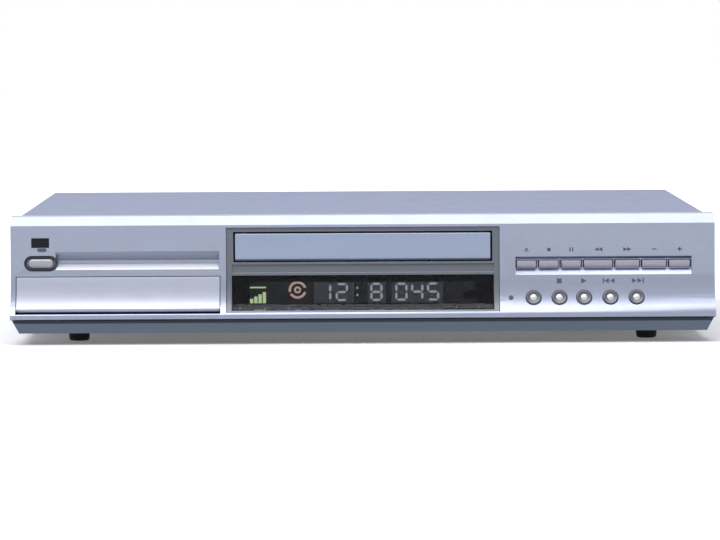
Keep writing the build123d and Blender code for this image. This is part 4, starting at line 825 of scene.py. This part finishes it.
insert_dark = finish("insert_dark", (0.17, 0.19, 0.225), 0.35, grain=1500.0, depth=0.00001, coat=0.2)
refined("centre_frame", "dark_insert", insert_dark, 0.0003)
window_low, window_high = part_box("display_window")
window_set, window_thick = 0.0007, 0.002
window_profile = flared_plate(window_low.z, window_high.z, window_set, window_thick)
smoked = finish("smoked_panel", (0.42, 0.43, 0.46), 0.035, clouding=0.02, dust=0.0, spread_by=0.02, depth=0.0)
set_shader(smoked, {"IOR": 1.49, "Specular Tint": (0.22, 0.22, 0.25), "Transmission Weight": 1.0})
stand(rounded_bar("smoked_window", smoked, window_profile, window_low.x, window_high.x, 0.0005, columns=24),
      "display_window")

# The drawer's door is a hollow bar in the front's silver, with a bevel along its foot. It clips to the
# drawer's front edge and closes the slot in the insert.


def corner(centre, radius, start, end, steps=5):
    """Points of a rounded corner in Y and Z, from one angle to another in degrees."""
    turn = np.radians(np.linspace(start, end, steps))
    return [(centre[0] + radius * cos(t), centre[1] + radius * sin(t)) for t in turn]


door_low, door_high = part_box("tray_door")
ease, bevel_back, bevel_rise = 0.0006, 0.0014, 0.0016
door_profile = (
    corner((door_low.y + ease, door_high.z - ease), ease, 180, 90)
    + [(door_high.y, door_high.z), (door_high.y, door_low.z), (door_low.y + bevel_back + ease, door_low.z)]
    + corner((door_low.y + ease * 1.2, door_low.z + bevel_rise), ease, 215, 180, 4)
)
door_paint = silver_paint("door_silver", (0.35, 0.41, 0.56))
door = rounded_bar("drawer_door", door_paint, door_profile, door_low.x, door_high.x, ease, columns=8)
stand(door, "tray_door")

# The receiver's window is dark acrylic, clear only to infrared. Two small lamps in tinted lenses show
# standby and recording, and both are unlit.
dark_acrylic = finish(
    "receiver_acrylic", (0.006, 0.009, 0.018), 0.08, clouding=0.0, depth=0.0, dust=0.0, shine=0.12)
refined("sensor_window", "receiver_window", dark_acrylic, 0.0003)
dress("standby_lamp", finish("standby_lens", (0.12, 0.11, 0.14), 0.3, dust=0.0))
dress("record_lamp", finish("record_lens", (0.24, 0.13, 0.16), 0.3, dust=0.0))

# The power button is an oval bar with a crowned face, moulded in grey-silver and sprung in its pocket. A
# collar behind keeps it in the front, and the dark sheet round the pocket's wall is painted shade in the
# recess.


def stadium_rings(centre, long, tall, insets, depths, ring=False, steps=20):
    """Rings of an oval outline: half circles of radius r - inset about two centres, set back by depth."""
    cx, cy, cz = centre
    turn = np.linspace(-np.pi / 2, np.pi / 2, steps)
    turn = np.concatenate([turn, turn + np.pi])
    shift = np.repeat([(long - tall) / 2, (tall - long) / 2], steps)
    radius = tall / 2 - np.array(insets, float)
    x = cx + shift[None] + radius[:, None] * np.cos(turn)[None]
    z = cz + radius[:, None] * np.sin(turn)[None]
    y = cy + np.array(depths, float)[:, None] + np.zeros_like(x)
    return np.stack([x, y, z], axis=-1).reshape(-1, 3), grid_faces(len(insets), 2 * steps, ring)


button_low, button_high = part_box("power_button")
power_x, _, power_z = middle_of("power_button")
power_centre = (power_x, button_low.y, power_z)
power_long, power_tall, collar_wider, collar_thick = 0.0154, 0.0054, 0.003, 0.0012
button_deep = button_high.y - button_low.y
crown = np.linspace(0, np.pi / 2, 8)
crown_insets = list((power_tall / 2 - 0.0002) * (1 - np.sin(crown)))
crown_depths = list(0.0012 * (1 - np.cos(crown)))
button_grey = finish("button_grey", (0.42, 0.42, 0.46), 0.36, metallic=0.3, coat=0.2)
bar = stadium_rings(
    power_centre, power_long, power_tall, crown_insets + [0, 0], crown_depths + [0.0015, 0.0100])
collar = stadium_rings(power_centre, power_long + collar_wider, power_tall + collar_wider, [0, 0],
                       [button_deep - collar_thick, button_deep])
stand(build("power_bar", button_grey, bar, collar), "power_button")
pocket_long, pocket_tall, pocket_floor = 0.0205, 0.0096, face_y + 0.0026
# The dark ring laid round the pocket's wall is painted shade in the recess round the button.
pocket_shade_ring = stadium_rings(
    (power_x, pocket_floor, power_z), pocket_long, pocket_tall,
    [0.0001, 0.0001, 0.0006, 0.0019, 0.0019], [-0.00001, -0.0012, -0.00025, -0.00025, -0.00001], ring=True)
pocket_shade_grey = finish("pocket_painted_shade", (0.085, 0.085, 0.115), 0.5, dust=0.0)
add_to(build("pocket_painted_shade", pocket_shade_grey, pocket_shade_ring), "front_bezel")

# Seven keys in one strip: each is a moulded cap with a crowned face. A lip above and below keeps it in the
# front, and it travels a millimetre to its switch.
key_grey = finish("key_grey", (0.40, 0.40, 0.48), 0.36, metallic=0.3, coat=0.15)
lip_tall, key_crown, key_side_gap, key_ease = 0.0013, 0.0006, 0.00025, 0.0006
for index in range(1, 8):
    low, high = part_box(f"key_{index}")
    foot_z, cap_tall = low.z + lip_tall, high.z - low.z - 2 * lip_tall
    profile = [(low.y + key_crown * t * t, foot_z + cap_tall * (t + 1) / 2) for t in np.linspace(1, -1, 9)]
    profile += [(high.y, foot_z), (high.y, foot_z + cap_tall)]
    ends = (low.x + key_side_gap, high.x - key_side_gap)
    stand(rounded_bar(f"key_cap_{index}", key_grey, profile, *ends, key_ease), f"key_{index}")

# Five round buttons stand square to the flare: dark grey caps with a dished rim, and a pale stud in the
# middle. A flange behind keeps each in its hole, and a stem reaches to the switch.
round_z = 0.0274
lean = np.arcsin((flare_top - round_z) / flare_radius)
square_out = (0, -cos(lean), sin(lean))
round_grey = finish("round_grey", (0.115, 0.115, 0.14), 0.34, metallic=0.2, coat=0.2, dust=0.02)
stud_silver = finish("stud_silver", (0.62, 0.62, 0.66), 0.28, metallic=0.5, coat=0.2, dust=0.02)
cap_radii = [
    0.0004, 0.0020, 0.0028, 0.0034, 0.0038, 0.0042, 0.0045, 0.0046, 0.0046, 0.0056, 0.0056, 0.0018, 0.0018,
]
cap_heights = [
    0.0005, 0.0005, 0.0006, 0.0008, 0.0010, 0.0010, 0.0008, 0.0004, -0.0028, -0.0028, -0.0040, -0.0040,
    -0.0125,
]
stud_dome = np.linspace(0, np.pi / 2, 8)[1:]
stud_radii = [0.0002, *0.0021 * np.sin(stud_dome), 0.0021]
stud_heights = [0.0010, *0.0004 + 0.0006 * np.cos(stud_dome), 0.0003]
for index in range(1, 6):
    button = f"round_button_{index}"
    centre = (middle_of(button)[0], front_line(round_z), round_z)
    stand(build(f"round_cap_{index}", round_grey, turned(cap_radii, cap_heights, centre, square_out)), button)
    stud = turned(stud_radii, stud_heights, centre, square_out, steps=32)
    add_to(build(f"round_stud_{index}", stud_silver, stud), button)

# The drop-down flap carries on the front's flare on the left. Inside it has two stiffening ribs and a hinge
# barrel; behind it a black tub holds the front sockets.
flap_low, flap_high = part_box("input_flap")
flap_inset, flap_thick = 0.0019, 0.0022
hinge_z = flap_low.z + 0.002
flap_x = (flap_low.x + flap_inset, flap_high.x - flap_inset)
flap_profile = flared_plate(hinge_z, flap_high.z, 0.0, flap_thick)
flap_paint = silver_paint("flap_silver", (0.455, 0.475, 0.58), metallic=0.6)
stand(rounded_bar("flap_plate", flap_paint, flap_profile, *flap_x, 0.0004, columns=24), "input_flap")


def hinge_rod(start, end, radius, end_radius, steps):
    """A rod along the flap's foot, with its ends eased over 0.3 mm."""
    long = end - start
    centre = (start, float(front_line(hinge_z, 0.002)), hinge_z)
    radii = [end_radius, radius, radius, end_radius]
    return turned(radii, [0, 0.0003, long - 0.0003, long], centre, (1, 0, 0), steps)


barrel = hinge_rod(*flap_x, 0.0020, 0.0018, 24)
hinge_pins = hinge_rod(flap_low.x, flap_high.x, 0.0012, 0.0009, 20)
add_to(build("flap_barrel", flap_paint, barrel, hinge_pins), "input_flap")
rib_set, rib_half = 0.004, 0.0005
flap_ribs = []
for z in (0.028, 0.036):
    inner_y = float(front_line(z, flap_thick))
    low = (flap_x[0] + rib_set, inner_y - 0.0006, z - rib_half)
    high = (flap_x[1] - rib_set, inner_y + 0.0009, z + rib_half)
    flap_ribs.append(block_shell(low, high, 0.0002))
add_to(build("flap_ribs", flap_paint, *flap_ribs), "input_flap")
refined("jack_panel", "socket_tub", black_moulding, 0.0003)
dress("front_jacks", black_moulding)
front_y, front_row_z, front_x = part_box("front_jacks")[0].y, 0.030, (-0.150, -0.132, -0.114)
front_sleeves = [open_sleeve((x, front_y, front_row_z), -0.008, 0.0, forward) for x in front_x]
add_to(build("front_sleeves", plating, *front_sleeves), "front_jacks")
for (name, material), x in zip(insulators.items(), front_x):
    ring = insulator_ring((x, front_y + 0.0077, front_row_z), forward)
    add_to(build(f"front_{name}_insulator", material, ring), "front_jacks")

# The cover is one sheet folded down both sides, in silver-blue paint with a fine texture. Plated screws
# hold it to the chassis flanges, and more of the kind hold the boards and the loader inside.
cover_paint = silver_paint("cover_silver", (0.172, 0.205, 0.34), 0.48, metallic=0.25, contrast=0.10, coat=0.0)
refined("top_cover", "cover_sheet", cover_paint)
cover_low, cover_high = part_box("top_cover")
screw_low, screw_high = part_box("cover_screws")
head_radius, head_tall = 0.0034, 0.0019
screws = [
    ((x, y, (screw_low.z + screw_high.z) / 2), (side, 0, 0))
    for side, x in ((-1, cover_low.x), (1, cover_high.x))
    for y in (screw_low.y + head_radius, screw_high.y - head_radius)
]
heads = [cross_head(centre, head_radius, head_tall, way) for centre, way in screws]
shanks = [
    turned([0.0014, 0.0014, 0.0012], [0.0, -0.0008, -0.0009], centre, way, 16) for centre, way in screws]
stand(build("cover_screw_heads", screw_plating, *heads, *shanks, sharp=28), "cover_screws")
dress("frame_screws", screw_plating)

# The studio: a plain pale floor, a large soft light above and in front, and an even pale surround. Floor
# and surround are white where they are seen or reflected, and light the object as a grey room would.


def seen_directly(tree):
    """1 on rays from the camera, in reflections and through clear pieces, and 0 on rays of light alone."""
    path = tree.nodes.new("ShaderNodeLightPath").outputs
    straight = math_node(tree, "MAXIMUM", path["Is Camera Ray"], path["Is Glossy Ray"])
    return math_node(tree, "MAXIMUM", straight, path["Is Transmission Ray"])


soft_light = bpy.data.lights.new("soft_overhead", "AREA")
soft_light.shape = "RECTANGLE"
soft_light.size, soft_light.size_y = 2.6, 1.3
soft_light.energy = 46.0
overhead = placed("soft_overhead", soft_light)
overhead.location = (-0.35, -0.72, 1.85)
overhead.rotation_euler = (radians(21), radians(-10), 0)

world = bpy.data.worlds.new("pale_surround")
bpy.context.scene.world = world
world.use_nodes = True
tree = world.node_tree
tree.nodes.clear()
white = add_node(tree, "Background", {"Color": (1, 1, 1)}).outputs[0]
lighting = add_node(tree, "Background", {"Color": (0.86, 0.91, 1.0), "Strength": 0.42}).outputs[0]
surround = add_node(tree, "MixShader", {0: seen_directly(tree), 1: lighting, 2: white}).outputs[0]
add_node(tree, "OutputWorld", {"Surface": surround})


def floor_finish():
    """White floor that keeps the shadow. Where it is seen or reflected it is white paper, and away from the
    object it adds plain white. The light that it throws back on the object is that of a grey floor."""
    material = bpy.data.materials.new("studio_floor")
    material.use_nodes = True
    tree = material.node_tree
    grey_floor, white_paper = (0.24, 0.25, 0.27), (0.88, 0.88, 0.88)
    seen = seen_directly(tree)
    distance = add_node(tree, "VectorMath", {0: on_object(tree)}, operation="LENGTH").outputs["Value"]
    ends = {"Value": distance, "From Min": 0.15, "From Max": 0.95, "To Min": 0.12, "To Max": 1.0}
    away = add_node(tree, "MapRange", ends, interpolation_type="SMOOTHSTEP").outputs["Result"]
    return set_shader(material, {
        "Base Color": mixed(tree, seen, grey_floor, white_paper), "Roughness": 0.9, "Specular IOR Level": 0.0,
        "Emission Color": (1, 1, 1), "Emission Strength": math_node(tree, "MULTIPLY", away, seen)})


floor_half = 6
floor_mesh = bpy.data.meshes.new("studio_floor")
floor_corners = [(x * floor_half, y * floor_half, 0) for x, y in ((-1, -1), (1, -1), (1, 1), (-1, 1))]
floor_mesh.from_pydata(floor_corners, [], [(0, 1, 2, 3)])
floor_mesh.materials.append(floor_finish())
floor = placed("studio_floor", floor_mesh)

# The camera stands well back and a little above the cover, as in the photograph. Its long lens keeps the
# front nearly square, and it is turned by a third of a degree.
camera = bpy.data.cameras.new("camera")
camera.sensor_width = 36.0
camera.lens = 197.0
camera.clip_end = 50.0
eye = placed("camera", camera)
eye.location = (-0.0115, face_y - 2.40, 0.210)
aim = np.array((-0.0009, face_y, 0.0447)) - np.array(eye.location)
pitch, turn_in, roll = np.arctan2(aim[2], aim[1]), -np.arctan2(aim[0], aim[1]), radians(0.29)
eye.rotation_euler = (radians(90) + pitch, roll, turn_in)
bpy.context.scene.camera = eye
bpy.context.scene.view_settings.view_transform = "Standard"
